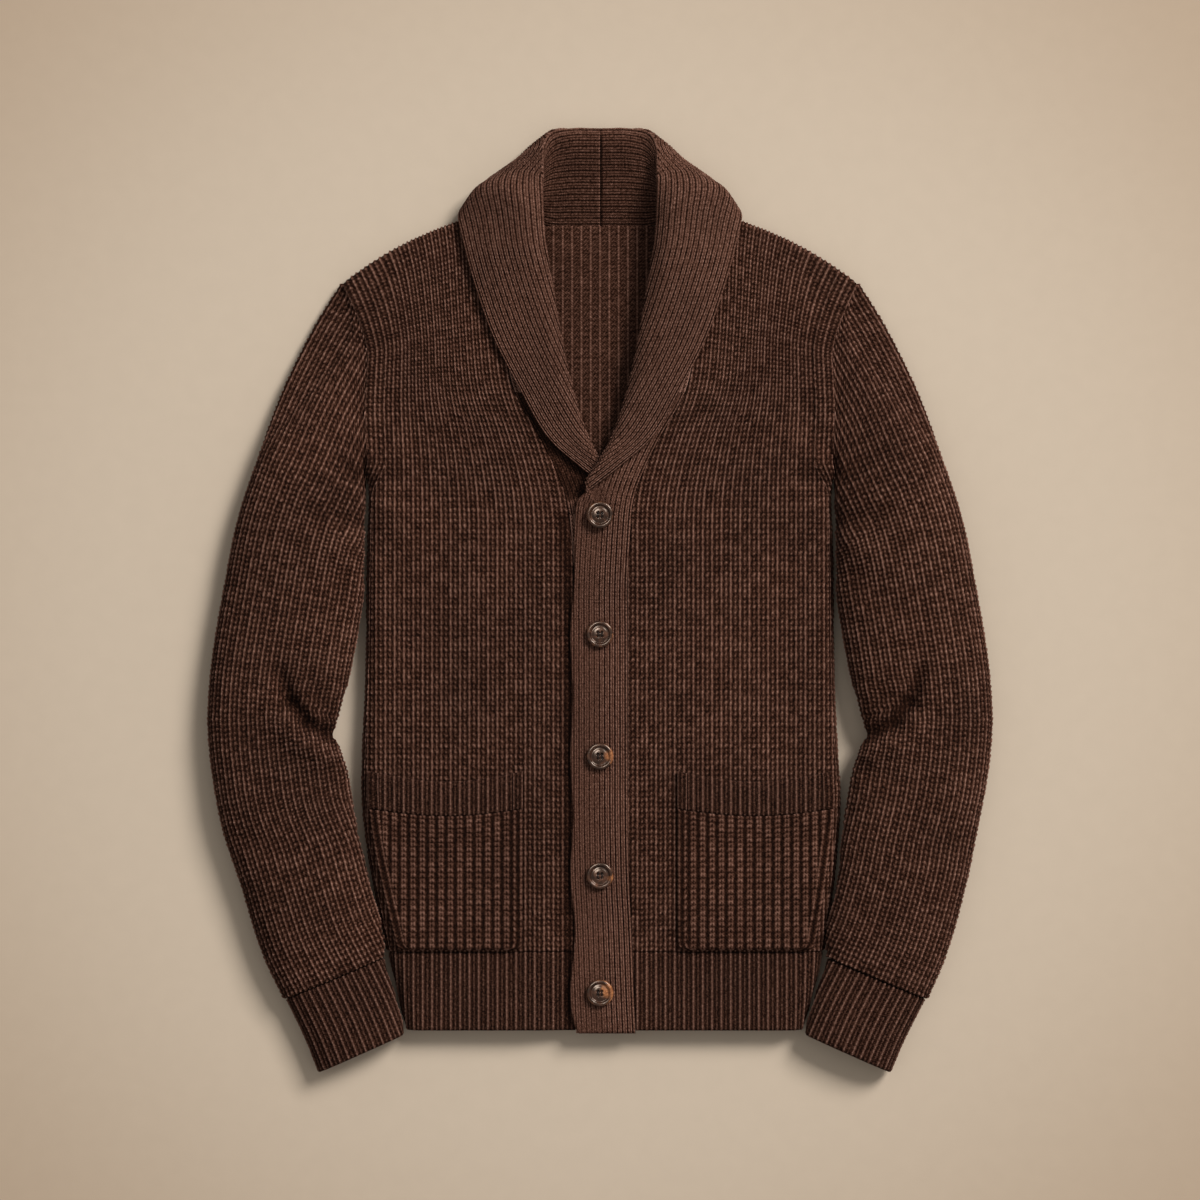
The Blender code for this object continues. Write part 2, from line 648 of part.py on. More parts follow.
def button_mesh():
    """A turned button with a raised rim, a groove and a domed middle, and four sewing holes."""
    r, h = BUTTON_RADIUS, BUTTON_THICK
    profile = ((0, h * 0.75), (r * 0.6, h * 0.55), (r * 0.76, h), (r * 0.92, h * 0.96), (r, h * 0.55))
    profile += ((r * 0.84, 0), (0, 0))
    mesh = bpy.data.meshes.new("button_profile")
    points = [(MM * x, 0, MM * z) for x, z in profile]
    mesh.from_pydata(points, [(i, i + 1) for i in range(len(points) - 1)], [])
    blank = bpy.data.objects.new("button_blank", mesh)
    bpy.context.scene.collection.objects.link(blank)
    turn = blank.modifiers.new("turn", "SCREW")
    turn.steps = turn.render_steps = 16
    turn.use_merge_vertices = True
    turn.merge_threshold = 0.0001
    for i in range(4):
        x, y = (HOLE_SPACING / 2 * sign for sign in ((1, 1), (1, -1), (-1, -1), (-1, 1))[i])
        bpy.ops.mesh.primitive_cylinder_add(
            vertices=6, radius=MM * HOLE_RADIUS, depth=MM * 4 * h, location=(MM * x, MM * y, MM * h / 2)
        )
        drill = bpy.context.object
        drill.name = f"hole_drill_{i + 1}"
        drill.hide_render = True
        drill.display_type = "WIRE"
        drill.users_collection[0].objects.unlink(drill)
        bpy.data.collections["cutters"].objects.link(drill)
        cut = blank.modifiers.new(drill.name, "BOOLEAN")
        cut.operation = "DIFFERENCE"
        cut.object = drill
    graph = bpy.context.evaluated_depsgraph_get()
    finished = bpy.data.meshes.new_from_object(blank.evaluated_get(graph))
    bpy.data.objects.remove(blank)
    finished.name = "button"
    return finished


def make_buttons(band, material):
    """Buttons sewn through the upper band, each just clear of the highest point under it."""
    mesh = button_mesh()
    mesh.materials.append(material)
    corners = np.array([v.co for v in band.data.vertices]) / MM
    for number, y in enumerate(BUTTON_Y, 1):
        near = np.hypot(corners[:, 0], corners[:, 1] - y) < BUTTON_RADIUS + 3
        button = bpy.data.objects.new(f"button_{number}", mesh)
        button.location = (0, MM * y, MM * (corners[near, 2].max() + SEAM))
        bpy.data.collections["shawl_collar_cardigan"].objects.link(button)


def start_scene():
    for thing in list(bpy.data.objects):
        bpy.data.objects.remove(thing)
    for name in ("shawl_collar_cardigan", "cutters"):
        group = bpy.data.collections.new(name)
        bpy.context.scene.collection.children.link(group)


def main():
    start_scene()
    body_knit = surface_of("half_cardigan_knit", KNIT_COLOR, 0.95)
    trim_knit = surface_of("ribbed_trim_knit", KNIT_COLOR, 0.95)
    band_knit = surface_of("fine_rib_knit", BAND_COLOR, 0.95)
    horn = surface_of("dark_horn", HORN_COLOR, 0.2)
    make_fronts(body_knit)
    make_back(body_knit)
    make_front_hems(trim_knit)
    make_back_hem(trim_knit)
    make_sleeves(body_knit, trim_knit)
    bands = make_bands(band_knit)
    make_pockets(body_knit, trim_knit)
    make_buttons(bands[1], horn)


main()
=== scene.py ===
"""A shawl collar cardigan in chunky rib knit, buttoned and laid flat on its back.

Every piece of cloth is a thin closed shell worked out with numpy. A point on a piece is found in two steps:
first a smooth surface gives its place, then the knit's own relief moves it in or out along the surface's
normal. Sizes are in millimetres until the mesh is written. +X is the wearer's left, +Y points to the collar.
"""

# %% [markdown]
# # A knitted cardigan, piece by piece
# The frame holds the measured solids of the cardigan: two fronts, a back, two sleeves, ribbed cuffs and hems,
# a band that turns into the collar, pockets and buttons. They give every place and size. This lesson dresses
# each of them in knit.

# %% Load the frame
import math
from collections import namedtuple

import bmesh
import bpy
import numpy as np
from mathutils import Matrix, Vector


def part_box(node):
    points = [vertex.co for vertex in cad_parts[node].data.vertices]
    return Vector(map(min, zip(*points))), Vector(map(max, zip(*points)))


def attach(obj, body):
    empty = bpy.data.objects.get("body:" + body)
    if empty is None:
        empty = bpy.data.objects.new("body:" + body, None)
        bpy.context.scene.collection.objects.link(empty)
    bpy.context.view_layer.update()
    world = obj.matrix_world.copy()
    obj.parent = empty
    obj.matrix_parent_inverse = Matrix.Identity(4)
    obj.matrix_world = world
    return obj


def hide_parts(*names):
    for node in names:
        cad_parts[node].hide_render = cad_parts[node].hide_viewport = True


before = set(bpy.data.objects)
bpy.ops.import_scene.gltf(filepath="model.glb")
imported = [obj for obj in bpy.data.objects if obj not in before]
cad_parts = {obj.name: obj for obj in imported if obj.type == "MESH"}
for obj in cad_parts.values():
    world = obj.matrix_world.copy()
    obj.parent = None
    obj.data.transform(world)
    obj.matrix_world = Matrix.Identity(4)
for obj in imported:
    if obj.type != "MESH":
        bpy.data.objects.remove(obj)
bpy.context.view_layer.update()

print("nodes in the frame:", ", ".join(sorted(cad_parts)))

# %% [markdown]
# ## The sizes of the cardigan
# A pattern cutter works from a short list of measures and a few curves. The same is done here: single sizes
# have names, and each curve is a small table with named columns. Two surfaces that should meet read the same
# table, so a seam stays closed however the numbers change.

# %% Measures, in millimetres
MM = 0.001
WALL = 3.2
RIB_PITCH = 8.2  # from one ridge of the half-cardigan rib to the next
ROW_HEIGHT = 4.7  # from one row of its stitches to the next
TRIM_ROW = 4.2  # the same for hems, cuffs and welts
BODY_HEIGHT = 19.5
SHOULDER_HEIGHT = 13.0
LAP_DIP = 3.5  # the right front dips this far to pass under the left band
HEM_Y = -378.0
HEM_SEAM_Y = -309.0
SHOULDER_Y = 350.0
NECK_X = 88.0
NECK_DROP = 17.5
SHOULDER_SLOPE = 0.51
SHOULDER_LENGTH = 140.0
SHOULDER_ARCH = 7.5  # how far the shoulder line bows up over its straight slope
SIDE_RUN = 14.0
SHOULDER_RUN = 6.0
SEAM_TURN = 0.78  # share of the way round the side that the front covers
BACK_TURN = 0.18
POCKET_TOP_Y = -150.0
POCKET_BOTTOM_Y = -307.0
POCKET_INNER_X = 68.0
WELT_DEPTH = 33.0
POCKET_SAG = 9.0
POCKET_PUFF = 1.8
POCKET_CORNER = 7.0  # radius of a pocket's lower corners
SEAM_GAP = 0.3  # cloth that meets at a seam stays this far apart
NECK_EDGE_Y = 66.0  # above this the front edge leans away to the neck
UNDER_BAND_Z = 14.4
OVER_BAND_Z = 18.3
SIDES = (("left", 1), ("right", -1))


def table(names, *rows):
    """A short table: one array for each named column."""
    return dict(zip(names.split(), np.array(rows, float).T))


# %% The curves of the cut
# Half the body's width at each height; sway moves both edges towards the wearer's left.
SIDE = table(
    "y half sway",
    (-378, 175.0, 4),
    (-308, 192.0, 5),
    (-246, 203.0, 3),
    (-220, 206.5, 2),
    (-172, 210.5, 1),
    (-130, 209.0, 0),
    (-90, 207.0, 0),
    (-30, 205.5, 0),
    (30, 205.0, 0),
    (100, 203.0, 0),
)
ARMHOLE = table(
    "y x",
    (100, 204.0),
    (128, 204.5),
    (173, 206.0),
    (200, 204.8),
    (219, 204.4),
    (234, 208.0),
    (258, 217.0),
    (279, 227.0),
)
# Rings of a sleeve seen from above: outer and inner edge, height, how square the top is, how high the inner
# edge stands, and how far the ring follows the armhole's curve.
SLEEVE = table(
    "outer_x outer_y inner_x inner_y height square inner_rise bow sway",
    (227.9, 280, 206.6, 98, 15, 14, 0.5, 1.0, 0),
    (253.4, 238, 207.0, 82, 24, 7, 0.5, 0.7, 0),
    (279.0, 185, 207.4, 60, 31, 4, 0.5, 0.3, 0),
    (297.4, 135, 207.6, 33, 34, 3, 0.5, 0.0, 0),
    (318.0, 74, 208.5, -2, 35, 3, 0.5, 0.0, 0),
    (331.0, 10, 217.0, -52, 35, 3, 0.5, 0.0, 0),
    (341.0, -50, 227.5, -94, 35, 3, 0.5, 0.0, 0),
    (344.6, -92, 234.0, -117, 35, 3, 0.5, 0.0, 0),
    (344.8, -114, 229.0, -128, 35, 3, 0.5, 0.0, 0),
    (341.0, -153, 221.0, -154, 35, 3, 0.55, 0.0, 0),
    (331.8, -202, 213.5, -200, 34, 3, 0.55, 0.0, 0),
    (319.0, -250, 205.5, -246, 33, 3, 0.6, 0.0, 3),
    (302.0, -308, 194.5, -292, 31, 3, 0.62, 0.0, 4),
    (283.5, -351, 194.5, -313.5, 28, 3, 0.65, 0.0, 5),
)
CUFF = table(
    "outer_x outer_y inner_x inner_y height square inner_rise bow sway",
    (281.5, -350.7, 195.3, -314.3, 26, 3, 0.65, 0.0, 5),
    (264.5, -385, 184.0, -348, 26, 3, 0.65, 0.0, 4.5),
    (252.0, -415.5, 175.5, -381.5, 25, 3, 0.65, 0.0, 4),
)
# The collar from the centre back to the top button, as sections through the middle of the cloth: seam,
# stand, roll line, fall and free edge, the radius of the roll, and how much higher the upper band runs.
COLLAR = table(
    "sx sy sz mx my mz rx ry rz bx by bz fx fy fz roll lift",
    (0.3, 329.6, 1.7, 0.3, 370, 9.8, 0.3, 414.9, 6.0, 0.3, 385, 1.9, 0.3, 353, 1.9, 3.6, 0),
    (25, 329.6, 1.7, 25, 370, 9.8, 25, 414.9, 6.0, 26, 385, 1.9, 28, 353, 1.9, 3.6, 0),
    (44, 330.2, 1.9, 42, 368, 11, 43.5, 412, 10, 62, 391, 3.4, 58, 358, 1.9, 3.8, 0),
    (61, 336.6, 3.0, 54, 360, 16, 50.5, 398, 18, 77, 384, 8, 88, 362, 2.1, 4.2, 0),
    (75, 345.0, 5.5, 61, 354, 21, 51, 374, 25, 97, 370, 15, 112, 354, 5, 4.5, 0),
    (85, 352.0, 8.5, 67, 349, 23, 51, 348, 27.5, 108, 356, 23, 124, 339, 13, 4.5, 0),
    (87.2, 320, 12.4, 68, 319, 22, 49.5, 319, 27, 90, 321, 28, 121.5, 321, 18.4, 4.5, 0),
    (87.4, 282, 14.6, 64, 280, 19.5, 43, 278, 24.5, 80, 280, 28, 111, 280.5, 19.8, 4.0, 0),
    (84.5, 232, 16.8, 59, 231, 17.5, 34.5, 229, 21.5, 66, 231, 26.5, 94, 232, 22.0, 3.2, 0),
    (75.0, 184, 17.9, 50, 182, 16.0, 24, 181.5, 19, 48, 183, 24.5, 70.5, 185.5, 23.2, 2.8, 0.3),
    (52.4, 143, 17.6, 33, 143, 14.0, 11.5, 144, 15.5, 30, 144.5, 21, 47.5, 145, 23.0, 2.4, 4),
    (39.6, 117, 15.6, 20, 119, 11.0, -1, 121, 12.5, 9, 120.5, 16.0, 19.5, 119, 17.0, 2.2, 10),
    (32.0, 98, 14.6, 10, 99, 10.4, -12, 101.5, 12.2, -8, 102, 14.0, -3.5, 101, 14.2, 1.8, 10.5),
    (28.6, 84, 14.4, 8, 85, 13.0, -6, 86, 13.0, -13, 87, 13.0, -19.5, 88, 13.0, 0, 8),
)
# The button band below the collar: its seam under and over, and its free edge.
PLACKET = table(
    "y under over free",
    (66, 26.0, 27.0, -22.4),
    (15, 22.0, 24.2, -23.0),
    (-29.5, 21.1, 24.2, -26.2),
    (-85, 21.1, 24.2, -24.0),
    (-137, 21.1, 24.3, -26.2),
    (-190, 21.1, 24.4, -23.8),
    (-242, 21.1, 25.4, -26.2),
    (-290, 21.1, 27.6, -22.2),
    (-344.5, 21.1, 29.6, -26.2),
    (-371, 21.1, 30.8, -23.0),
    (-380.5, 21.1, 31.2, -18.5),
)
print("sleeve rings:", len(SLEEVE["sway"]), "collar sections:", len(COLLAR["sx"]))

# %% [markdown]
# ## Smooth steps and curves
# Cloth has no sharp changes, so a few small helpers are used everywhere: a step that starts and ends level, a
# cubic curve through the rows of a table, and the running length of a line. They take whole arrays, so a
# panel with fifty thousand points is one call.

# %% Helpers for curves


def ease(value, low, high):
    """0 below low and 1 above high. Between them, with share x of the way, it is x squared times (3 - 2x)."""
    share = np.clip((np.asarray(value, float) - low) / (high - low), 0, 1)
    return share * share * (3 - 2 * share)


def curve(at, x, y):
    """A cubic through the points (x, y): each span blends its two end values and its two end slopes."""
    slope = np.gradient(y, x, axis=0)
    k = np.clip(np.searchsorted(x, at, side="right") - 1, 0, len(x) - 2)
    shape = np.shape(k) + (1,) * (np.ndim(y) - 1)
    span = (x[k + 1] - x[k]).reshape(shape)
    u = np.clip((at - x[k]).reshape(shape) / span, 0, 1)
    return (
        (2 * u**3 - 3 * u**2 + 1) * y[k]
        + (u**3 - 2 * u**2 + u) * span * slope[k]
        + (3 * u**2 - 2 * u**3) * y[k + 1]
        + (u**3 - u**2) * span * slope[k + 1]
    )


def through(at, rows):
    """The same cubic through rows that lie one apart: place 2.5 is midway between rows 2 and 3."""
    return curve(at, np.arange(len(rows), dtype=float), rows)


def lengths(points):
    """Distance along a line of points: the running sum of its steps."""
    return np.concatenate([[0], np.cumsum(np.linalg.norm(np.diff(points, axis=0), axis=1))])


def unit(vectors):
    return vectors / np.maximum(np.linalg.norm(vectors, axis=-1, keepdims=True), 1e-9)


print("halfway through a step:", float(ease(0.5, 0, 1)))

# %% [markdown]
# ## The body as one surface
# The fronts and the back lie on one flattened tube. Its surface takes a distance s from the centre line and a
# height t, both measured on the cloth, and gives the place in space. Past the side edge the cloth rounds over
# along half an ellipse, and at the shoulder the rows slope down and round over too. Soft folds are added
# last: each is a low ridge or valley along a short line. Its section is a bell, and it grows weaker along it.

# %% The body's surface


def half_ellipse(run, share=1.0):
    """The cloth round an edge follows half an ellipse, run wide and the body's height tall. Gives how far out
    it goes, what share of the height it drops, and its running length, up to a share of the turn."""
    turn = np.linspace(0, math.pi * share, 200)
    forward, drop = run * np.sin(turn), (1 - np.cos(turn)) / 2
    return forward, drop, lengths(np.stack([forward, BODY_HEIGHT * drop], axis=1))


def rounded_edge(past, run):
    """How far out cloth has gone, and what share of the height it has dropped, that far past an edge."""
    forward, drop, around = half_ellipse(run)
    past = np.clip(past, 0, around[-1])
    return np.interp(past, around, forward), np.interp(past, around, drop)


def edge_length(run, share):
    """The cloth round a rounded edge, up to that share of the whole turn."""
    return half_ellipse(run, share)[2][-1]


def side_x(y, side):
    return curve(y, SIDE["y"], SIDE["half"]) + side * curve(y, SIDE["y"], SIDE["sway"])


def shoulder_fall(s, t):
    """How far the rows have sloped down at distance s from the centre line: a straight slope less an arch."""
    past = np.maximum(s - NECK_X, 0)
    arch = SHOULDER_ARCH * np.sin(math.pi * np.clip(past / SHOULDER_LENGTH, 0, 1) ** 1.4)
    return (SHOULDER_SLOPE * past - arch) * ease(t, 150, SHOULDER_Y)


def above_underarm(t):
    """0 on the rows below the armhole and 1 on those beside it."""
    return ease(t, 92, 124)


def body_height(t):
    return BODY_HEIGHT - (BODY_HEIGHT - SHOULDER_HEIGHT) * ease(t, 180, SHOULDER_Y)


# Folds on the body: from (x, y) to (to_x, to_y), how high, and how wide. They lie the same on both sides.
BODY_FOLDS = table(
    "x y to_x to_y high wide",
    (199, 118, 150, 150, 2.2, 9),
    (201, 100, 150, 108, -1.8, 8),
    (200, 84, 158, 70, 2.0, 8),
    (200, 132, 168, 190, -2.0, 8),
    (200, 56, 172, 14, -1.6, 9),
    (203, -10, 176, -70, 1.4, 12),
    (186, 235, 150, 282, 1.2, 14),
    (120, 60, 90, -60, 1.0, 22),
    (170, -120, 120, -136, -0.9, 12),
)


def folds(points, lines):
    """The height of the folds at each point: the sum of high x exp(-(distance / wide)^2), where distance is
    to the fold's line. A fold is whole over the first third of its line, with 0.15 of it left at the end."""
    total = np.zeros(points.shape[:-1])
    for x, y, to_x, to_y, high, wide in zip(*lines.values()):
        way = np.array([to_x - x, to_y - y])
        offset = points[..., :2] - np.array([x, y])
        along = np.clip((offset @ way) / (way @ way), 0, 1)
        gap = np.linalg.norm(offset - along[..., None] * way, axis=-1)
        fade = (1 - 0.85 * ease(along, 0.35, 1)) * np.exp(-((gap / wide) ** 2))
        total += high * fade
    return total


def body_surface(s, t, side, front):
    """The outside of the body at distance s from the centre line and height t, on the +X side."""
    wrapped = 1 - above_underarm(t)
    go, share = rounded_edge(s - (side_x(t, side) - SIDE_RUN), SIDE_RUN)
    x = wrapped * (np.minimum(s, side_x(t, side) - SIDE_RUN) + go) + (1 - wrapped) * s
    drop = wrapped * share
    tops = ease(s, NECK_X - 6, NECK_X + 4)
    top_start = SHOULDER_Y - SHOULDER_RUN
    go, share = rounded_edge(t - top_start, SHOULDER_RUN)
    y = tops * (np.minimum(t, top_start) + go) + (1 - tops) * t
    drop = np.maximum(drop, tops * share)
    y = y - shoulder_fall(s, t)
    y = y - NECK_DROP * (1 - ease(s, 44, NECK_X)) * ease(t, 270, SHOULDER_Y) * (not front)
    dip = LAP_DIP if side < 0 else 0.0
    height = body_height(t) - dip * (1 - ease(s, 24, 62)) * (1 - ease(t, 70, 150))
    z = height * (1 - drop) if front else body_height(t) * drop
    points = np.stack([x, y, z + 0 * x], axis=-1)
    if front:
        settle = 1 - ease(drop, 0.1, 0.6)
        points[..., 2] += folds(points, BODY_FOLDS) * settle
    return points


def with_normals(surface, s, t, *which):
    """Points of a surface, and the directions out of it: the cross product of its two slopes. which holds
    whatever else the surface asks for, such as the side."""
    along = surface(s + 0.4, t, *which) - surface(s - 0.4, t, *which)
    up = surface(s, t + 0.4, *which) - surface(s, t - 0.4, *which)
    return surface(s, t, *which), unit(np.cross(along, up))


def armhole_s(t):
    """The cloth distance at which a row meets the armhole, found by a few rounds of substitution."""
    s = np.full(np.shape(t), 205.0)
    for _ in range(12):
        s = curve(t - shoulder_fall(s, t), ARMHOLE["y"], ARMHOLE["x"])
    return s


def outer_edge_s(t, side, share):
    """The cloth distance of a panel's outer edge: the side seam below, the armhole above."""
    seam = side_x(t, side) - SIDE_RUN + edge_length(SIDE_RUN, share)
    return seam + (armhole_s(t) - seam) * above_underarm(t)


print("half the body at the hem:", float(side_x(np.array(HEM_Y), 1)), "mm")

# %% [markdown]
# ## What the knit looks like up close
# A half-cardigan rib has three things to see: a raised ridge of stitches, a line of fat beads midway between
# two ridges, one bead a row, and dark holes round the beads. Each is a simple function of two numbers: u
# counts ribs across the cloth and v counts rows along it. The result runs from 0 in the deepest hole to 1 on
# the highest stitch. It moves the surface, and it is kept as an attribute, so the colour follows the same
# stitches, with painted shade in the holes and a painted highlight on the highest stitches. A picture of knit
# would be easier, but its stitches would be flat.

# %% Stitch patterns


def wave(turns):
    """A wave from 0 to 1, highest at whole numbers: (1 + cos(2 pi turns)) / 2."""
    return (1 + np.cos(2 * math.pi * turns)) / 2


def bump(distance, wide):
    """A bell, 1 at no distance and 0.37 at distance wide: exp(-(distance / wide)^2)."""
    return np.exp(-((distance / wide) ** 2))


def uneven(u, v):
    """A number from 0 to 1 for each stitch that looks random: the fraction of a large multiple of a sine."""
    turns = np.sin(np.round(u) * 12.9898 + np.round(v) * 78.233) * 43758.5453
    return turns - np.floor(turns)


def half_cardigan(u, v):
    """Ridge: a bell round each whole u. Beads: fat knobs midway between the ridges, one a row. A dark gap
    crosses both at each whole v, and every stitch has a slightly different lightness."""
    across = u - np.round(u) + 0.035 * np.sin(math.pi * v + 2.4 * np.round(u))
    gap = wave(v + 0.3 * across)
    ridge = bump(across, 0.14) * (0.74 - 0.36 * gap + 0.28 * uneven(u, v + 0.5))
    beads = bump(np.abs(across) - 0.5, 0.16) * (0.64 - 0.52 * gap + 0.28 * uneven(u + 0.5, v + 0.5))
    return np.clip(np.maximum(ridge, beads), 0, 1)


def plain_rib(u, v):
    """A narrow column of V shaped stitches, and in the groove beside it the lower column of the back."""
    across = u - np.round(u)
    rows = wave(v + 1.3 * np.abs(across))
    column = 0.82 * bump(across, 0.15) * (0.7 + 0.3 * rows)
    lower = (0.42 + 0.2 * uneven(u + 0.5, v)) * bump(np.abs(across) - 0.5, 0.13) * (0.6 + 0.4 * rows)
    return np.clip(column + lower + 0.03, 0, 1)


def double_rib(u, v):
    """Two columns of stitches side by side with a dark line under each row, then a groove."""
    across = u - np.round(u) + 0.02 * np.sin(math.pi * v + 1.7 * np.round(u))
    column = 1 - ease(np.abs(across), 0.2, 0.4)
    rows = wave(v + 0.9 * np.abs(across))
    split = 0.3 * bump(across, 0.07)
    return np.clip(column * (0.14 + 0.46 * rows - split + 0.2 * uneven(u, v)) + 0.06, 0, 1)


def inside_rib(u, v):
    """The inside of the rib: a soft ridge, and yarn that crosses to the next one on the slant."""
    across = u - np.round(u)
    ridge = 0.74 * bump(across, 0.17) * (0.7 + 0.3 * wave(2 * v))
    crossing = 0.12 + 0.36 * wave(2 * v + 1.8 * np.abs(across)) * ease(np.abs(across), 0.12, 0.3)
    return np.clip(np.maximum(ridge, crossing) * (0.86 + 0.28 * uneven(u, 2 * v)), 0, 1)


for spot, u, v in (("ridge", 0, 0.5), ("bead", 0.5, 0.5), ("hole", 0.25, 0)):
    print(f"{spot}: {half_cardigan(u, v):.2f}")

# %% [markdown]
# ## From two skins to one closed cloth
# Real cloth has thickness, and an open sheet shows its bare edge from the side. So each piece has two skins,
# and their edges are joined all round. The outer skin is fine, because it carries the stitches. The inner one
# is coarse. Both are taken from one master list of rows and columns, so the rim can be filled with faces that
# run from one shared row to the next. A sleeve is the same thing with its columns joined into a ring.

# %% Building a piece of cloth
pieces = {}  # the finished piece that stands for each node of the frame


class Skin:
    """One side of a cloth: a grid of points, and for each point its stitch numbers and its relief."""

    def __init__(self, points, u, v, relief, rows, columns):
        self.points = points
        self.stitch = np.stack([u + 0 * v, v + 0 * u], axis=-1)
        self.relief = relief + 0 * points[..., 0]
        self.rows = np.asarray(rows)
        self.columns = np.asarray(columns)

    def closed(self):
        """The same skin with its first column met again at the end, for a tube."""
        self.points = np.concatenate([self.points, self.points[:, :1]], axis=1)
        self.relief = np.concatenate([self.relief, self.relief[:, :1]], axis=1)
        return self


def rim_faces(a_ids, a_steps, b_ids, b_steps):
    """Faces between two edges whose points are steps of one master list: one for each shared stretch."""
    shared = np.intersect1d(a_steps, b_steps)
    a_at = np.searchsorted(a_steps, shared)
    b_at = np.searchsorted(b_steps, shared)
    return [
        [*a_ids[a_at[i] : a_at[i + 1] + 1], *b_ids[b_at[i] : b_at[i + 1] + 1][::-1]]
        for i in range(len(shared) - 1)
    ]


def grid_faces(ids):
    return np.stack([ids[:-1, :-1], ids[:-1, 1:], ids[1:, 1:], ids[1:, :-1]], axis=-1).reshape(-1, 4)


def cloth(node, outer, inner, finish, tube=False):
    """A closed mesh between two skins, for a node of the frame. Corners are numbered over both grids. In a
    tube the last corners use the first column's points, so the stitch numbers run on over the join."""
    corner_point, first = [], 0
    for skin in (outer, inner):
        rows, columns = skin.points.shape[:2]
        ids = first + np.arange(rows * columns).reshape(rows, columns)
        if tube:
            ids[:, -1] = ids[:, 0]
        corner_point.append(ids.ravel())
        first += rows * columns
    corner_point = np.concatenate(corner_point)
    a = np.arange(outer.relief.size).reshape(outer.relief.shape)
    b = outer.relief.size + np.arange(inner.relief.size).reshape(inner.relief.shape)
    faces = [*grid_faces(a).tolist(), *grid_faces(b)[:, ::-1].tolist()]
    rims = [rim_faces(a[row], outer.columns, b[row], inner.columns) for row in (0, -1)]
    if not tube:
        rims += [rim_faces(a[:, column], outer.rows, b[:, column], inner.rows) for column in (0, -1)]
    for loops, turn in zip(rims, (True, False, False, True)):
        faces += [loop[::-1] if turn else loop for loop in loops]
    corners = np.concatenate([np.asarray(face) for face in faces])
    points = np.concatenate([skin.points.reshape(-1, 3) for skin in (outer, inner)])
    stitch = np.concatenate([skin.stitch.reshape(-1, 2) for skin in (outer, inner)])
    relief = np.concatenate([skin.relief.ravel() for skin in (outer, inner)])
    mesh = bpy.data.meshes.new(f"{node}_knit")
    mesh.vertices.add(len(points))
    mesh.vertices.foreach_set("co", (points * MM).ravel())
    mesh.loops.add(len(corners))
    mesh.loops.foreach_set("vertex_index", corner_point[corners])
    sizes = np.array([len(face) for face in faces])
    mesh.polygons.add(len(faces))
    mesh.polygons.foreach_set("loop_start", np.concatenate([[0], np.cumsum(sizes)[:-1]]))
    mesh.update(calc_edges=True)
    mesh.uv_layers.new(name="stitch").data.foreach_set("uv", stitch[corners].ravel())
    mesh.attributes.new("relief", "FLOAT", "POINT").data.foreach_set("value", relief)
    pieces[node] = finished_piece(mesh, finish)


def finished_piece(mesh, finish):
    """Joins points that lie together, turns the faces outwards, shades smoothly and adds the object."""
    body = bmesh.new()
    body.from_mesh(mesh)
    bmesh.ops.remove_doubles(body, verts=body.verts, dist=1e-7)
    loose = [v for v in body.verts if not v.link_faces]
    bmesh.ops.delete(body, geom=loose, context="VERTS")
    if body.calc_volume(signed=True) < 0:
        bmesh.ops.reverse_faces(body, faces=body.faces)
    open_edges = sum(not e.is_manifold for e in body.edges)
    body.to_mesh(mesh)
    body.free()
    mesh.polygons.foreach_set("use_smooth", np.ones(len(mesh.polygons), bool))
    mesh.materials.append(finish)
    piece = bpy.data.objects.new(mesh.name, mesh)
    bpy.context.scene.collection.objects.link(piece)
    mesh.calc_loop_triangles()
    print(f"{mesh.name}: {len(mesh.loop_triangles)} triangles, {open_edges} open edges")
    return piece


def rounded(gap, run=1.7):
    """How far the cloth draws in near its edge: along a quarter circle of that run."""
    share = np.clip(1 - gap / run, 0, 1)
    return run * (1 - np.sqrt(1 - share**2)) * 0.8


def kept_steps(size, keep, always=False):
    """Which of size steps a coarse skin keeps: every keep-th, the last, and those where always is true."""
    steps = np.arange(size)
    return np.flatnonzero(always | (steps % keep == 0) | (steps == size - 1))


# %% [markdown]
# ## Writing finishes as sums
# A procedural finish is a chain of small nodes, and a long chain is hard to read as node calls. So one class
# wraps a node's output and lets it be added, multiplied and compared like a number. Each sum adds its Math
# node behind the scenes. Every other node comes from one method, which takes the node's settings first and
# then the values of its sockets.

# %% Shader helpers


class Wire:
    """One output of a node, used like a number."""

    def __init__(self, finish, socket):
        self.finish = finish
        self.socket = socket

    def math(self, operation, *others):
        return self.finish.math(operation, self, *others)

    def __add__(self, other):
        return self.math("ADD", other)

    def __sub__(self, other):
        return self.math("SUBTRACT", other)

    def __rsub__(self, other):
        return self.finish.math("SUBTRACT", other, self)

    def __mul__(self, other):
        return self.math("MULTIPLY", other)

    def __lt__(self, other):
        return self.math("LESS_THAN", other)

    __radd__ = __add__
    __rmul__ = __mul__

    def turns_cosine(self):
        return (self * (2 * math.pi)).math("COSINE")

    def within(self, low, high):
        settings = {"interpolation_type": "SMOOTHSTEP"}
        return self.finish.node("ShaderNodeMapRange", settings, {0: self, 1: low, 2: high})


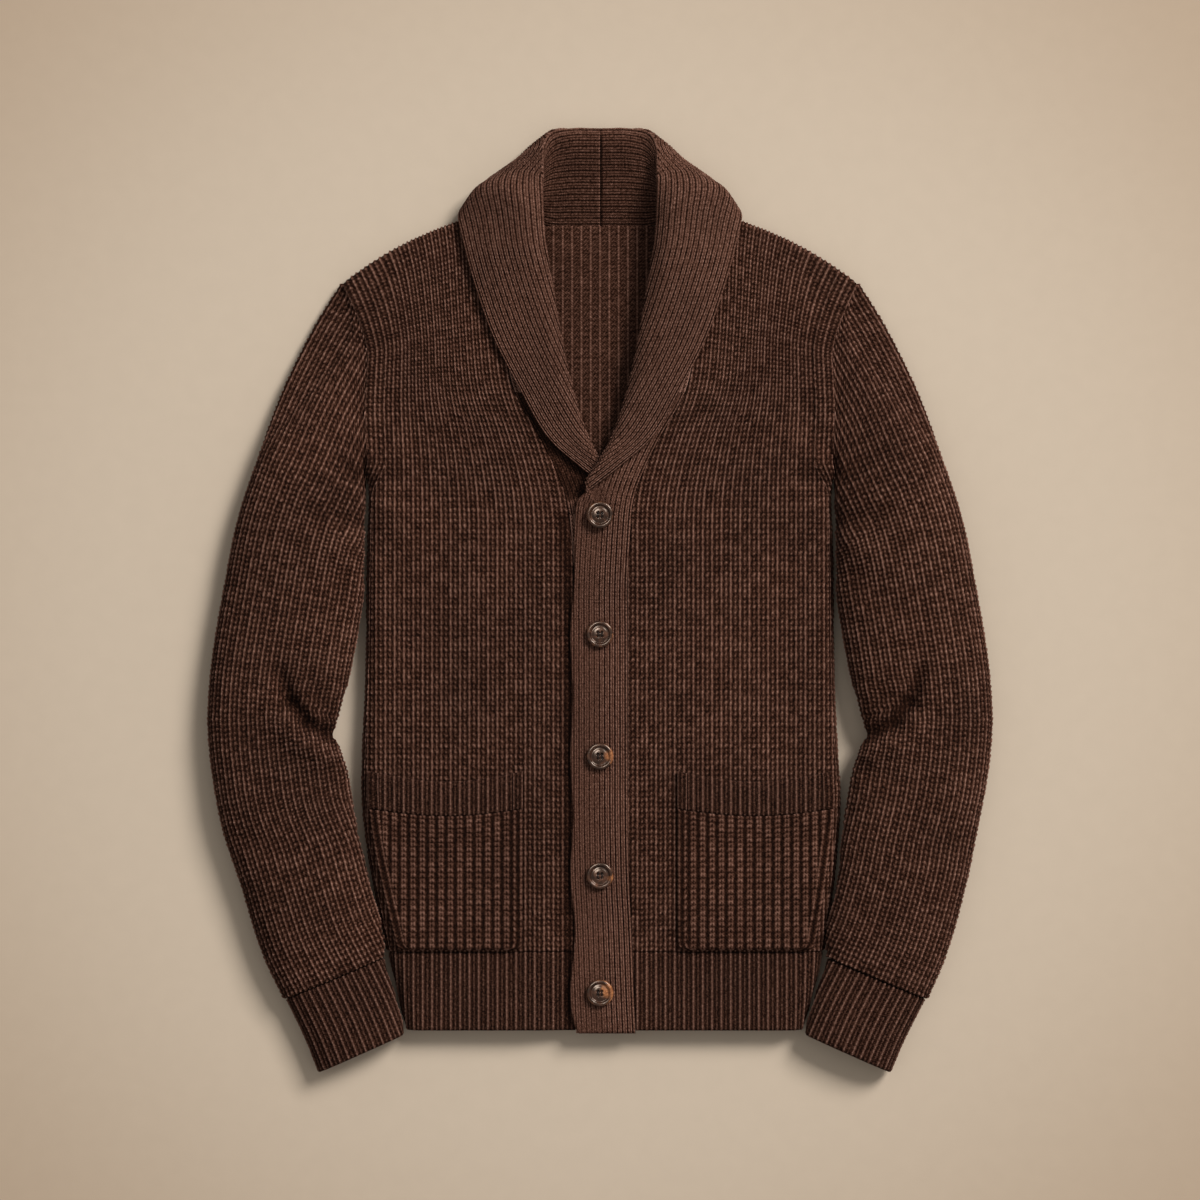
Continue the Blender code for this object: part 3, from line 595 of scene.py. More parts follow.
class Finish:
    """A material whose Principled shader is fed by the nodes written here."""

    def __init__(self, name, **constants):
        self.material = bpy.data.materials.new(name)
        self.material.use_nodes = True
        self.tree = self.material.node_tree
        self.shader = self.tree.nodes["Principled BSDF"]
        for socket, value in constants.items():
            self.shader.inputs[socket.replace("_", " ")].default_value = value

    def node(self, kind, settings=None, values=None, output=0):
        made = self.tree.nodes.new(kind)
        for name, value in (settings or {}).items():
            if name == "stops":
                self.set_stops(made.color_ramp, value)
            else:
                setattr(made, name, value)
        for name, value in (values or {}).items():
            self.feed(made.inputs[name], value)
        return Wire(self, made.outputs[output])

    def math(self, operation, *values):
        return self.node("ShaderNodeMath", {"operation": operation}, dict(enumerate(values)))

    def ramp(self, factor, *stops):
        """A colour for each value of factor. Each stop is a place and the colour there."""
        return self.node("ShaderNodeValToRGB", {"stops": stops}, {0: factor})

    def set_stops(self, ramp, stops):
        while len(ramp.elements) < len(stops):
            ramp.elements.new(0.5)
        for element, (position, color) in zip(ramp.elements, stops):
            element.position = position
            element.color = (*color, 1)

    def feed(self, socket, value):
        if isinstance(value, Wire):
            self.tree.links.new(value.socket, socket)
        else:
            socket.default_value = value

    def surface(self, **sockets):
        for name, value in sockets.items():
            self.feed(self.shader.inputs[name.replace("_", " ")], value)
        return self.material

    def place(self):
        return self.node("ShaderNodeTexCoord", output="Object")

    def noise(self, scale, detail=2.0, **values):
        values = {"Vector": self.place(), "Scale": scale, "Detail": detail, **values}
        return self.node("ShaderNodeTexNoise", {}, values)

    def blend(self, factor, first, second, kind="MIX"):
        settings = {"data_type": "RGBA", "blend_type": kind}
        return self.node("ShaderNodeMix", settings, {0: factor, 6: first, 7: second}, 2)


print("shader helpers ready")

# %% [markdown]
# ## The brown wool
# The yarn is one brown, but it never reads as one: holes between the stitches are almost black, the ridges
# catch the light, and the dye varies a little from place to place. So the colour comes from the relief
# attribute through a ramp, which paints shade into the holes and a highlight onto the ridges, with fine noise
# for single fibres and broad noise for the dye. The twisted plies of the yarn are waves on the stitch
# numbers, and they and the fibres go into the bump. Skins that carry no fine relief are marked with a relief
# below zero, and the finish draws their stitches itself.

# %% Knit finishes
# The ramp's colours, from the lowest relief to the highest: painted shade in the holes, painted shade beside
# them, the yarn's own brown, and a painted highlight on the highest stitches.
HOLE_SHADE = (0.0040, 0.0010, 0.0003)
SHADE = (0.021, 0.0078, 0.0042)
YARN = (0.076, 0.0355, 0.0240)
LIT_YARN = (0.205, 0.112, 0.084)


def knit_finish(name, lightness, ridge_width, speckle):
    """Brown wool. ridge_width is the drawn ridge's share of a rib, and speckle how much the loops show."""
    finish = Finish(name, Roughness=1.0, Specular_IOR_Level=0.05)
    relief = finish.node("ShaderNodeAttribute", {"attribute_name": "relief"}, output="Fac")
    stitch = finish.node("ShaderNodeUVMap", {"uv_map": "stitch"})
    u = finish.node("ShaderNodeSeparateXYZ", {}, {0: stitch}, 0)
    v = finish.node("ShaderNodeSeparateXYZ", {}, {0: stitch}, 1)
    across = (u + 0.5).math("FRACT") - 0.5
    away = across.math("ABSOLUTE")
    ridge = 1 - away.within(ridge_width * 0.4, ridge_width)
    bars = (v + across * 0.45).turns_cosine() * 0.28 + 0.4
    drawn = (ridge * 0.85).math("MAXIMUM", bars * away.within(0.1, 0.3))
    unseen = relief < -0.1
    shown = relief * (1 - unseen) + drawn * unseen
    fibre = finish.noise(1500, 3.0)
    loops = finish.noise(760, 2.0)
    strand = finish.noise(420, 2.0)
    dye = finish.noise(11, 3.0)
    plies = (u * 3 + v * 2).turns_cosine()
    tone = shown + (fibre - 0.5) * 0.34 + (loops - 0.5) * speckle + (strand - 0.5) * 0.28 + plies * 0.04
    stops = ((0.07, HOLE_SHADE), (0.26, SHADE), (0.55, YARN), (0.93, LIT_YARN))
    color = finish.ramp(tone, *((at, [lightness * c for c in color]) for at, color in stops))
    patchy = finish.ramp(dye, (0.3, (0.86, 0.86, 0.86)), (0.7, (1.14, 1.13, 1.12)))
    color = finish.blend(1.0, color, patchy, "MULTIPLY")
    height = fibre * 0.5 + plies * 0.18 + strand * 0.5 + drawn * unseen * 2
    normal = finish.node("ShaderNodeBump", {}, {"Height": height, "Strength": 0.55, "Distance": 0.0006})
    return finish.surface(Base_Color=color, Normal=normal)


body_wool = knit_finish("half_cardigan_wool", 1.2, 0.3, 0.6)
trim_wool = knit_finish("ribbed_trim_wool", 1.0, 0.42, 0.9)
band_wool = knit_finish("fine_rib_wool", 1.2, 0.4, 0.85)
print("finishes:", body_wool.name, trim_wool.name, band_wool.name)

# %% [markdown]
# ## The fronts
# Each front is knitted to shape. Its ribs lean with the neck edge on one side and with the armhole on the
# other, and run straight between them. In the grid each column keeps to its rib, and where a rib meets the
# edge it ends there, as it does where a knitter narrows a panel. The stitches then move the surface along its
# normal, and near the panel's edge the cloth draws in, so a seam shows as a soft line.

# %% Shaping a panel
FINE = 6  # columns to a rib
ROW_FINE = 3  # rows of points to a row of stitches
LEAN = 0.6  # how closely the ribs of a front follow its neck edge
# Painted shade: the right front's colour is darkened where it dips under the left band.
LAP_SHADE = 0.55  # share of the right front's relief that is lost where it dips under the left band
cuts = {}  # the flat size of each sheet, by node

# How a piece is knitted: its stitches, its wool, the height of a row, how far the highest stitch stands out,
# and how far the whole is sunk first.
Knit = namedtuple("Knit", "pattern wool row_height raise_by sunk")
BODY_KNIT = Knit(half_cardigan, body_wool, ROW_HEIGHT, 2.5, 1.0)
HEM_KNIT = Knit(plain_rib, trim_wool, TRIM_ROW, 2.4, 1.6)
CUFF_KNIT = Knit(plain_rib, trim_wool, TRIM_ROW, 2.4, 1.0)
POCKET_KNIT = Knit(double_rib, body_wool, ROW_HEIGHT, 1.8, 0.4)
WELT_KNIT = Knit(plain_rib, trim_wool, TRIM_ROW, 2.2, 0.4)


def no_lean(s):
    return 0 * s


def panel_columns(low, high, near_ribs, far_ribs, lean=no_lean):
    """The cloth distance and the rib number of each column, in one row for each pair of edges low and high.
    lean gives how far the ribs are shifted sideways at each cloth distance. The first near_ribs and the last
    far_ribs follow the edges instead."""
    step = RIB_PITCH / FINE
    near = np.arange(near_ribs * FINE + 1) * step
    far = np.arange(far_ribs * FINE, -1, -1) * step
    spread = np.linspace(low.min(), high.max(), 300) + 0 * low[:, None]
    shifted = spread - lean(spread)
    wanted = np.arange(math.ceil(shifted.min() / step), math.floor(shifted.max() / step) + 1) * step
    middle = np.array([np.interp(wanted, *pair) for pair in zip(shifted, spread)])
    middle = np.clip(middle, (low + near[-1])[:, None], (high - far[0])[:, None])
    s = np.hstack([low[:, None] + near, middle, high[:, None] - far])
    ribs = [near + 0 * low[:, None], middle - lean(middle), -far + 0 * low[:, None]]
    return s, np.hstack(ribs) / RIB_PITCH


def stitch_rows(low, high, row_height):
    """Heights of the rows of points, and their row numbers, for a whole number of stitch rows."""
    count = max(round((high - low) / row_height), 1) * ROW_FINE
    return np.linspace(low, high, count + 1), np.arange(count + 1) / ROW_FINE


def note_cut(node, widths, run):
    """Keeps the flat size of a piece: its widest width, its length and its area."""
    area = np.sum((widths[1:] + widths[:-1]) / 2 * np.diff(run))
    cuts[node] = (widths.max() * MM, (run[-1] - run[0]) * MM, area * MM * MM)


def side_of(skins, side):
    """Places both skins on the side asked for, by turning x round for the wearer's right."""
    for skin in skins:
        skin.points = skin.points * np.array([side, 1, 1])
    return skins


def panel(node, side, s, u, t, v, surface, which, knit, thick, shade=1.0):
    """A piece whose points are given by the surface at (s, t), knitted and closed, with its cut noted. shade
    is the share of the relief that its colour keeps: below 1 it paints shade into the colour."""
    note_cut(node, s[:, -1] - s[:, 0], t)
    t, v = t[:, None] + 0 * s, v[:, None]
    points, normals = with_normals(surface, s, t, *which)
    relief = knit.pattern(u, v)
    gap = np.minimum(s - s[:, :1], s[:, -1:] - s)
    gap = np.minimum(gap, np.minimum(t - t[0], t[-1] - t))
    out = relief * knit.raise_by - knit.sunk - rounded(gap)
    rows, columns = np.arange(s.shape[0]), np.arange(s.shape[1])
    outer = Skin(points + normals * out[..., None], u, v, relief * shade, rows, columns)
    rows, columns = kept_steps(len(rows), 12), kept_steps(len(columns), FINE)
    some = np.ix_(rows, columns)
    back = points[some] - normals[some] * thick
    inner = Skin(back, u[some], v[rows], -1.0, rows, columns)
    cloth(node, *side_of((outer, inner), side), knit.wool)


print("columns to a rib:", FINE, "rows to a stitch:", ROW_FINE)

# %% [markdown]
# The front edge of each front comes from the band's own tables, so the two always share one line.

# %% The two fronts and their hems


def front_edge(t, side):
    y = np.concatenate([[SHOULDER_Y], COLLAR["sy"][6:], PLACKET["y"]])[::-1]
    x = np.concatenate([[NECK_X], COLLAR["sx"][6:], PLACKET["over" if side > 0 else "under"]])[::-1]
    return curve(t, y, x) + SEAM_GAP


def front_panel(node, side, low, high, knit, far_ribs):
    """A front or its hem. The right front's colour carries painted shade where it dips under the left band.
    """
    t, v = stitch_rows(low, high, knit.row_height)
    edge = front_edge(t, side)[:, None]
    above = t[:, None] > NECK_EDGE_Y
    neck_shift = LEAN * (edge - front_edge(np.array(NECK_EDGE_Y), side)) * above
    armhole_shift = (ease(t, 92, 150) * (armhole_s(t) - armhole_s(np.array(130.0))))[:, None]

    def lean(s):
        return neck_shift * (1 - ease(s, edge, 190)) + armhole_shift * ease(s, 80, 204)

    s, u = panel_columns(edge[:, 0], outer_edge_s(t, side, SEAM_TURN), 0, far_ribs, lean)
    # Painted shade: the right front's colour darkens in a strip beside the left band, where it dips under it.
    dark = LAP_SHADE * bump(s - edge - 6, 5) * (t[:, None] < NECK_EDGE_Y + 9) * (side < 0)
    panel(node, side, s, u, t, v, body_surface, (side, True), knit, WALL, 1 - dark)


shoulder_end = SHOULDER_Y - SHOULDER_RUN + edge_length(SHOULDER_RUN, SEAM_TURN)
for word, side in SIDES:
    front_panel(f"front_{word}", side, HEM_SEAM_Y, shoulder_end, BODY_KNIT, 2)
    front_panel(f"hem_front_{word}", side, HEM_Y, HEM_SEAM_Y, HEM_KNIT, 0)

# %% [markdown]
# ## The back
# The back lies on the table, so its underside stays plain and flat. Its upper side shows only inside the
# neck, and is knitted finely only there. The rows and columns of a grid need not be even: they are close
# where stitches show, and wide apart elsewhere.

# %% The back and its hem
NECK_RIBS = 15  # so many ribs show on each side of the centre line
NECK_ROWS_Y = 96.0  # and only above this height


def back_surface(s, t):
    """The back on both sides of the centre line: s is negative on the wearer's right."""
    left = body_surface(np.abs(s), t, 1, False)
    right = body_surface(np.abs(s), t, -1, False) * np.array([-1, 1, 1])
    return np.where((s < 0)[..., None], right, left)


def back_panel(node, t, v, shown, finish):
    """A back whose columns are fine between the falls of the collar, where shown is above zero."""
    step = RIB_PITCH / FINE
    middle = np.arange(-NECK_RIBS * FINE, NECK_RIBS * FINE + 1) * step
    ends = np.stack([outer_edge_s(t, side, BACK_TURN) for side in (-1, 1)], axis=1)
    wide = np.stack([side_x(t, side) - SIDE_RUN for side in (-1, 1)], axis=1)
    wide = np.minimum(wide, ends - 6)
    share = np.linspace(0, 1, 5)
    right = -(wide[:, :1] + (ends - wide)[:, :1] * share)[:, ::-1]
    left = wide[:, 1:] + (ends - wide)[:, 1:] * share
    s = np.hstack([right, middle + 0 * t[:, None], left])
    u = s / RIB_PITCH
    points, up = with_normals(back_surface, s, t[:, None] + 0 * s)
    relief = np.where(shown[:, None] > 0, inside_rib(u, v[:, None]), -1.0)
    near = shown[:, None] * (np.abs(s) < NECK_RIBS * RIB_PITCH)
    upper = points + up * (WALL + near * (relief * 1.3 - 0.4))[..., None]
    relief = np.where(near > 0, relief, -1.0)
    outer = Skin(upper, u, v[:, None], relief, np.arange(s.shape[0]), np.arange(s.shape[1]))
    rows = kept_steps(len(t), 12, shown == 0)
    edge = np.arange(len(share))
    columns = len(edge) + kept_steps(len(middle), FINE)
    columns = np.concatenate([edge, columns, len(edge) + len(middle) + edge])
    some = np.ix_(rows, columns)
    note_cut(node, s[:, -1] - s[:, 0], t)
    cloth(node, outer, Skin(points[some], u[some], v[rows][:, None], -1.0, rows, columns), finish)


back_end = SHOULDER_Y - SHOULDER_RUN + edge_length(SHOULDER_RUN, BACK_TURN)
plain_t = np.linspace(HEM_SEAM_Y, NECK_ROWS_Y, 34)[:-1]
fine_t, fine_v = stitch_rows(NECK_ROWS_Y, back_end, ROW_HEIGHT)
back_t = np.concatenate([plain_t, fine_t])
back_v = np.concatenate([(plain_t - NECK_ROWS_Y) / ROW_HEIGHT, fine_v])
back_panel("back", back_t, back_v, ease(back_t, NECK_ROWS_Y + 1, NECK_ROWS_Y + 8), body_wool)
hem_t = np.linspace(HEM_Y, HEM_SEAM_Y, 5)
back_panel("hem_back", hem_t, hem_t / TRIM_ROW, 0 * hem_t, trim_wool)

# %% [markdown]
# ## The sleeves
# A sleeve lying flat is a tube of flattened rings. Each ring is level with the table and runs from the inner
# edge over the top to the outer edge and back underneath. Its top is a superellipse, height times
# (1 - |a|^n)^(1/2) with a from -1 to 1 across, and a high n makes a flat top. The ribs keep their distance
# from the outer edge and run out at the inner one, as in a real sleeve that narrows. Creases at the elbow and
# wrinkles from the underarm are added to the height, and where a fold dips some of the knit's relief is
# taken away, which paints shade into it and flattens its stitches.

# %% Sleeves and cuffs
SLEEVE_FOLDS = table(
    "x y to_x to_y high wide",
    (232, -121, 258, -108, -8.0, 6.5),
    (257, -108, 276, -82, -7.0, 6.5),
    (272, -88, 284, -48, -6.0, 7.5),
    (240, -98, 262, -66, -3.0, 13),
    (238, -136, 268, -122, 5.0, 9),
    (262, -126, 292, -92, 3.6, 10),
    (234, -152, 276, -158, -2.4, 10),
    (300, -120, 334, -96, -1.8, 12),
    (205.5, 122, 207, 98, -5.0, 4.0),
    (214, 92, 262, 118, 2.8, 9),
    (212, 104, 250, 146, -2.6, 8),
    (212, 70, 268, 76, -2.6, 10),
    (212, 46, 270, 30, 2.0, 11),
    (222, 20, 276, -16, -1.8, 12),
    (322, -170, 268, -196, 1.6, 16),
    (312, -214, 262, -226, -1.6, 14),
    (232, 200, 262, 214, 1.2, 14),
)
# Painted shade: a crease darkens the knit's colour, and flattens its stitches, in step with its depth.
CREASE_SHADE = 0.065  # share of the knit's relief that is lost for each millimetre of a crease's depth


def ring_outlines(rings, at, side):
    """Rings at the places given, counted in rows of the table. Returns their points, the directions out of
    them, the distance of each point from the sleeve's outer edge, and how far down that edge it lies."""
    ring = {name: through(at, column)[:, None] for name, column in rings.items()}
    ring["bow"] = np.clip(ring["bow"], 0, 1)
    outer = np.stack([ring["outer_x"] + side * ring["sway"], ring["outer_y"]], axis=-1)
    inner = np.stack([ring["inner_x"] + side * ring["sway"], ring["inner_y"]], axis=-1)
    turn = np.linspace(0, math.pi, 160)
    across = np.concatenate([-np.cos(turn), np.cos(turn)[1:]])[None]
    top = (np.arange(across.size) < len(turn))[None]
    share = (across + 1) / 2
    seam_y = inner[..., 1] + share * (outer - inner)[..., 1]
    bulge = curve(seam_y, ARMHOLE["y"], ARMHOLE["x"]) + SEAM_GAP
    straight_x = inner[..., 0] + share * (outer - inner)[..., 0]
    follow = ring["bow"] * ease(share, 0, 0.12) * (1 - ease(share, 0.98, 1))
    body = BODY_HEIGHT + (SHOULDER_HEIGHT - BODY_HEIGHT) * ease(share, 0.3, 1)
    height = ring["bow"] * body + (1 - ring["bow"]) * ring["height"]
    middle = height * (ring["inner_rise"] + (0.42 - ring["inner_rise"]) * share)
    over = np.sqrt(np.maximum(1 - np.abs(across) ** ring["square"], 0))
    under = np.maximum(1 - np.sqrt(np.maximum(1 - across**8, 0)) - 0.005, 0)
    z = np.where(top, middle + (height - middle) * over, middle * under)
    points = np.stack([straight_x + follow * (bulge - straight_x), seam_y, z], axis=-1)
    points[..., 2] += np.maximum(folds(points, SLEEVE_FOLDS), -0.4 * height) * top * over
    normals = unit(np.cross(np.gradient(points, axis=0), np.gradient(points, axis=1)))
    away, down = beside_edge(points[..., :2], rings, side)
    step = np.diff(points, axis=1, prepend=points[:, :1])
    rise = np.cumsum(np.linalg.norm(step, axis=-1) - np.linalg.norm(step[..., :2], axis=-1), axis=1)
    last = len(turn) - 1
    around = away + np.abs(rise - rise[:, last, None])
    around[:, last:] = np.maximum.accumulate(around[:, last:], axis=1)
    around[:, :last] = -np.maximum.accumulate(around[:, last - 1 :: -1], axis=1)[:, ::-1]
    return points, normals, around + np.arange(around.shape[1]) * 1e-6, down


def beside_edge(places, rings, side):
    """How far each place lies from the sleeve's outer edge, and how far down the edge. The edge is carried on
    straight past both ends, and each place is measured from the foot of its perpendicular."""
    at, run = (values[::4] for values in edge_lengths(rings, "outer"))
    edge_x = rings["outer_x"] + side * rings["sway"]
    edge = np.stack([through(at, edge_x), through(at, rings["outer_y"])], axis=1)
    reach = np.linspace(0, 150, 30)[1:, None]
    first, final = unit(edge[1] - edge[0]), unit(edge[-1] - edge[-2])
    edge = np.concatenate([edge[0] - reach[::-1] * first, edge, edge[-1] + reach * final])
    run = np.concatenate([-reach[::-1, 0], run, run[-1] + reach[:, 0]])
    way = unit(np.gradient(edge, axis=0))
    away, down = [], []
    for row in places:
        offset = row[:, None] - edge
        near = np.clip(np.linalg.norm(offset, axis=-1).argmin(axis=1), 1, len(edge) - 2)
        ahead = (offset * way).sum(axis=-1)
        each = np.arange(len(row))
        start = near - (ahead[each, near] < 0)
        share = ahead[each, start] / (ahead[each, start] - ahead[each, start + 1])
        foot = edge[start] + share[:, None] * (edge[start + 1] - edge[start])
        away.append(np.linalg.norm(row - foot, axis=-1))
        down.append(run[start] + share * (run[start + 1] - run[start]))
    return np.array(away), np.array(down)


def read_at(places, wanted, values):
    """Each ring's values, read at the wanted places along it."""
    rows = zip(places, wanted, values)
    return np.array([[np.interp(w, p, column) for column in value.T] for p, w, value in rows]).swapaxes(1, 2)


def edge_lengths(rings, edge):
    """The running length of a sleeve's edge, at fine steps through the table's rows."""
    at = np.linspace(0, len(rings["sway"]) - 1, 600)
    return at, lengths(np.stack([through(at, rings[f"{edge}_{axis}"]) for axis in "xy"], axis=1))


def tube(node, rings, side, knit):
    """A sleeve or a cuff. Its columns are fine on top, where they keep to the ribs, and a few lie beneath."""
    at, outer_run = edge_lengths(rings, "outer")
    _, inner_run = edge_lengths(rings, "inner")
    count = round(outer_run[-1] / knit.row_height) * ROW_FINE
    k = np.interp(np.linspace(0, outer_run[-1], count + 1), outer_run, at)
    points, normals, around, down = ring_outlines(rings, k, side)
    step = RIB_PITCH / FINE
    widest = math.ceil(-around[:, 0].min() / step)
    fine = np.clip(np.arange(-widest, 2 * FINE + 1) * step, around[:, :1], None)
    under = np.linspace(0, 1, 14)[1:-1]
    beneath = fine[:, -1:] + (around[:, -1:] - fine[:, -1:]) * under
    places = np.hstack([fine, beneath])
    spots = read_at(around, places, np.concatenate([points, normals, down[..., None]], axis=-1))
    spot, out, v = spots[..., :3], unit(spots[..., 3:6]), spots[..., 6] / knit.row_height
    u = places / RIB_PITCH + 0.5
    # Painted shade in the creases: the relief, and so the colour, is lowered where a fold dips.
    painted_crease_shade = CREASE_SHADE * np.clip(folds(spot, SLEEVE_FOLDS), -11, 0)
    relief = knit.pattern(u, v) * (1 + painted_crease_shade)
    seen = ease(spot[..., 2], 1.0, 5.0) * (np.arange(places.shape[1]) < fine.shape[1])
    run = np.interp(k, at, outer_run)[:, None]
    ends = np.minimum(run - run[0], run[-1] - run)
    move = (relief * knit.raise_by - knit.sunk) * seen - rounded(ends)
    relief = np.where(seen > 0.3, relief, -1.0)
    rows, columns = np.arange(spot.shape[0]), np.arange(spot.shape[1] + 1)
    outer = Skin(spot + out * move[..., None], 0, 0, relief, rows, columns).closed()
    last_u = around[:, -1:] / RIB_PITCH + 0.5
    outer.stitch = np.stack([np.hstack([u, last_u]), np.hstack([v, v[:, :1]])], axis=-1)
    rows, columns = kept_steps(len(rows), 9), kept_steps(len(columns), FINE)
    some = np.ix_(rows, columns[:-1])
    inner = Skin(spot[some] - out[some] * WALL, 0, 0, -1.0, rows, columns).closed()
    inner.stitch = outer.stitch[np.ix_(rows, columns)]
    note_cut(node, around[:, -1] - around[:, 0], (np.interp(k, at, inner_run) + run[:, 0]) / 2)
    cloth(node, *side_of((outer, inner), side), knit.wool, tube=True)


for word, side in SIDES:
    tube(f"sleeve_{word}", SLEEVE, side, BODY_KNIT)
    tube(f"cuff_{word}", CUFF, side, CUFF_KNIT)

# %% [markdown]
# ## The band and the shawl collar
# One long strip starts at the hem as the button band, widens at the top button, stands up round the neck and
# falls outwards over a soft roll. Seven guide points lie across it at each section: the seam, the stand,
# three round the roll, the fall and the free edge. One cubic joins the sections and another the guide points.
# The ribs run along the strip, two columns of stitches to each. On the stand they are counted from the roll,
# on the fall from the free edge, and on the placket from the seam.

# %% The band's middle layer
STAND_RIBS = 17
FALL_RIBS = 16
FALL_RIB_PITCH = 4.7  # where the fall is too narrow for them all, they keep this pitch and run out
BAND_FINE = 6  # columns to a rib of the fall
STAND_FINE = 6  # columns to a rib of the stand
BAND_ROW = 3.4  # the height of a row of its finer stitches
PLACKET_RIB_PITCH = 4.5
COLLAR_END = len(COLLAR["sx"]) - 1.0  # the last section that belongs to the collar
FACE_END = COLLAR_END + 0.6  # the strip's face is knitted finely as far as this section


def band_controls(side):
    """Seven guide points across the band at each of its sections, on the +X side."""
    c = COLLAR
    seam, stand, roll, fall, free = (
        np.stack([c[f"{letter}x"], c[f"{letter}y"], c[f"{letter}z"]], axis=1) for letter in "smrbf"
    )
    joined = body_surface(seam[:, 0] + 0.4, seam[:, 1], side, True)[:, 2] - WALL / 2
    seam[:, 2] = np.where(c["sy"] < 325, joined, seam[:, 2])
    lift = np.outer(c["lift"], [0, 0, 1]) * (side > 0)
    stand, roll, fall, free = stand + lift, roll + lift, fall + lift, free + lift
    away = unit((stand + fall) / 2 - roll)
    gap = fall - stand
    apart = unit(gap - (gap * away).sum(axis=1, keepdims=True) * away)
    radius = c["roll"][:, None]
    before = roll + radius * (1.1 * away - apart)
    after = roll + radius * (1.1 * away + apart)
    collar = np.stack([seam, stand, before, roll, after, fall, free], axis=1)
    seam_x = PLACKET["over" if side > 0 else "under"]
    free_x = PLACKET["free"] if side > 0 else np.full(len(seam_x), -25.0)
    z = OVER_BAND_Z if side > 0 else UNDER_BAND_Z
    shares = np.array([0, 0.3, 0.55, 0.65, 0.75, 0.86, 1])
    x = seam_x[:, None] + (free_x - seam_x)[:, None] * shares
    placket = np.stack([x, PLACKET["y"][:, None] + 0 * x, z + 0 * x], axis=2)
    return np.concatenate([collar, placket])


def band_sections(controls):
    """Places in the tables for even rows of points along the band, and their stitch row numbers."""
    at = np.linspace(0, len(controls) - 1, 1200)
    run = lengths(through(at, controls)[:, 3:6].mean(axis=1))
    count = round(run[-1] / BAND_ROW) * 2
    return np.interp(np.linspace(0, run[-1], count + 1), run, at), np.arange(count + 1) / 2


def band_middle(controls, k):
    """The middle layer of the band at sections k: its points, and the distance of each from the seam. The
    columns keep to the roll, so a rib runs all round the neck."""
    stand = np.linspace(0, 1, STAND_RIBS * STAND_FINE + 1)
    fall = np.linspace(0, 1, FALL_RIBS * BAND_FINE + 1)[1:]
    rows, places = [], []
    for guide in through(k, controls):
        knots = lengths(guide)
        at = np.linspace(0, knots[-1], 240)
        line = curve(at, knots, guide)
        line[:, 2] = np.maximum(line[:, 2], WALL / 2 + 0.1)
        run = lengths(line)
        roll = np.interp(knots[3], at, run)
        place = np.concatenate([stand * roll, roll + fall * (run[-1] - roll)])
        rows.append(np.stack([np.interp(place, run, line[:, axis]) for axis in range(3)], axis=1))
        places.append(place)
    return np.array(rows), np.array(places)


print("guide points of the band:", band_controls(1).shape[:2])

# %% [markdown]
# The face of the strip shows on the collar and its back shows on the placket, so each is fine only there.

# %% Making the two bands


def collar_ribs(u, v):
    """Fine ribs along the strip: V stitches in pairs of columns, with a deeper groove after each pair."""
    across = u - np.round(u)
    column = wave(2 * across + 0.5)
    vees = 0.3 * (wave(v + 2 * np.abs(np.abs(across) - 0.25)) - 0.5)
    stitch = 0.68 + vees + 0.16 * (uneven(2 * u + 0.5, v) - 0.5)
    groove = 0.3 * bump(np.abs(across) - 0.5, 0.14)
    return np.clip(0.04 + 0.22 * bump(across, 0.14) + stitch * column - groove, 0, 1)


def placket_ribs(u, v):
    """The placket's ribs, which grow faint towards its free edge."""
    clear = 1 - 0.5 * ease(u, 4.4, 7.0)
    return 0.42 * (1 - clear) + clear * collar_ribs(u, v)


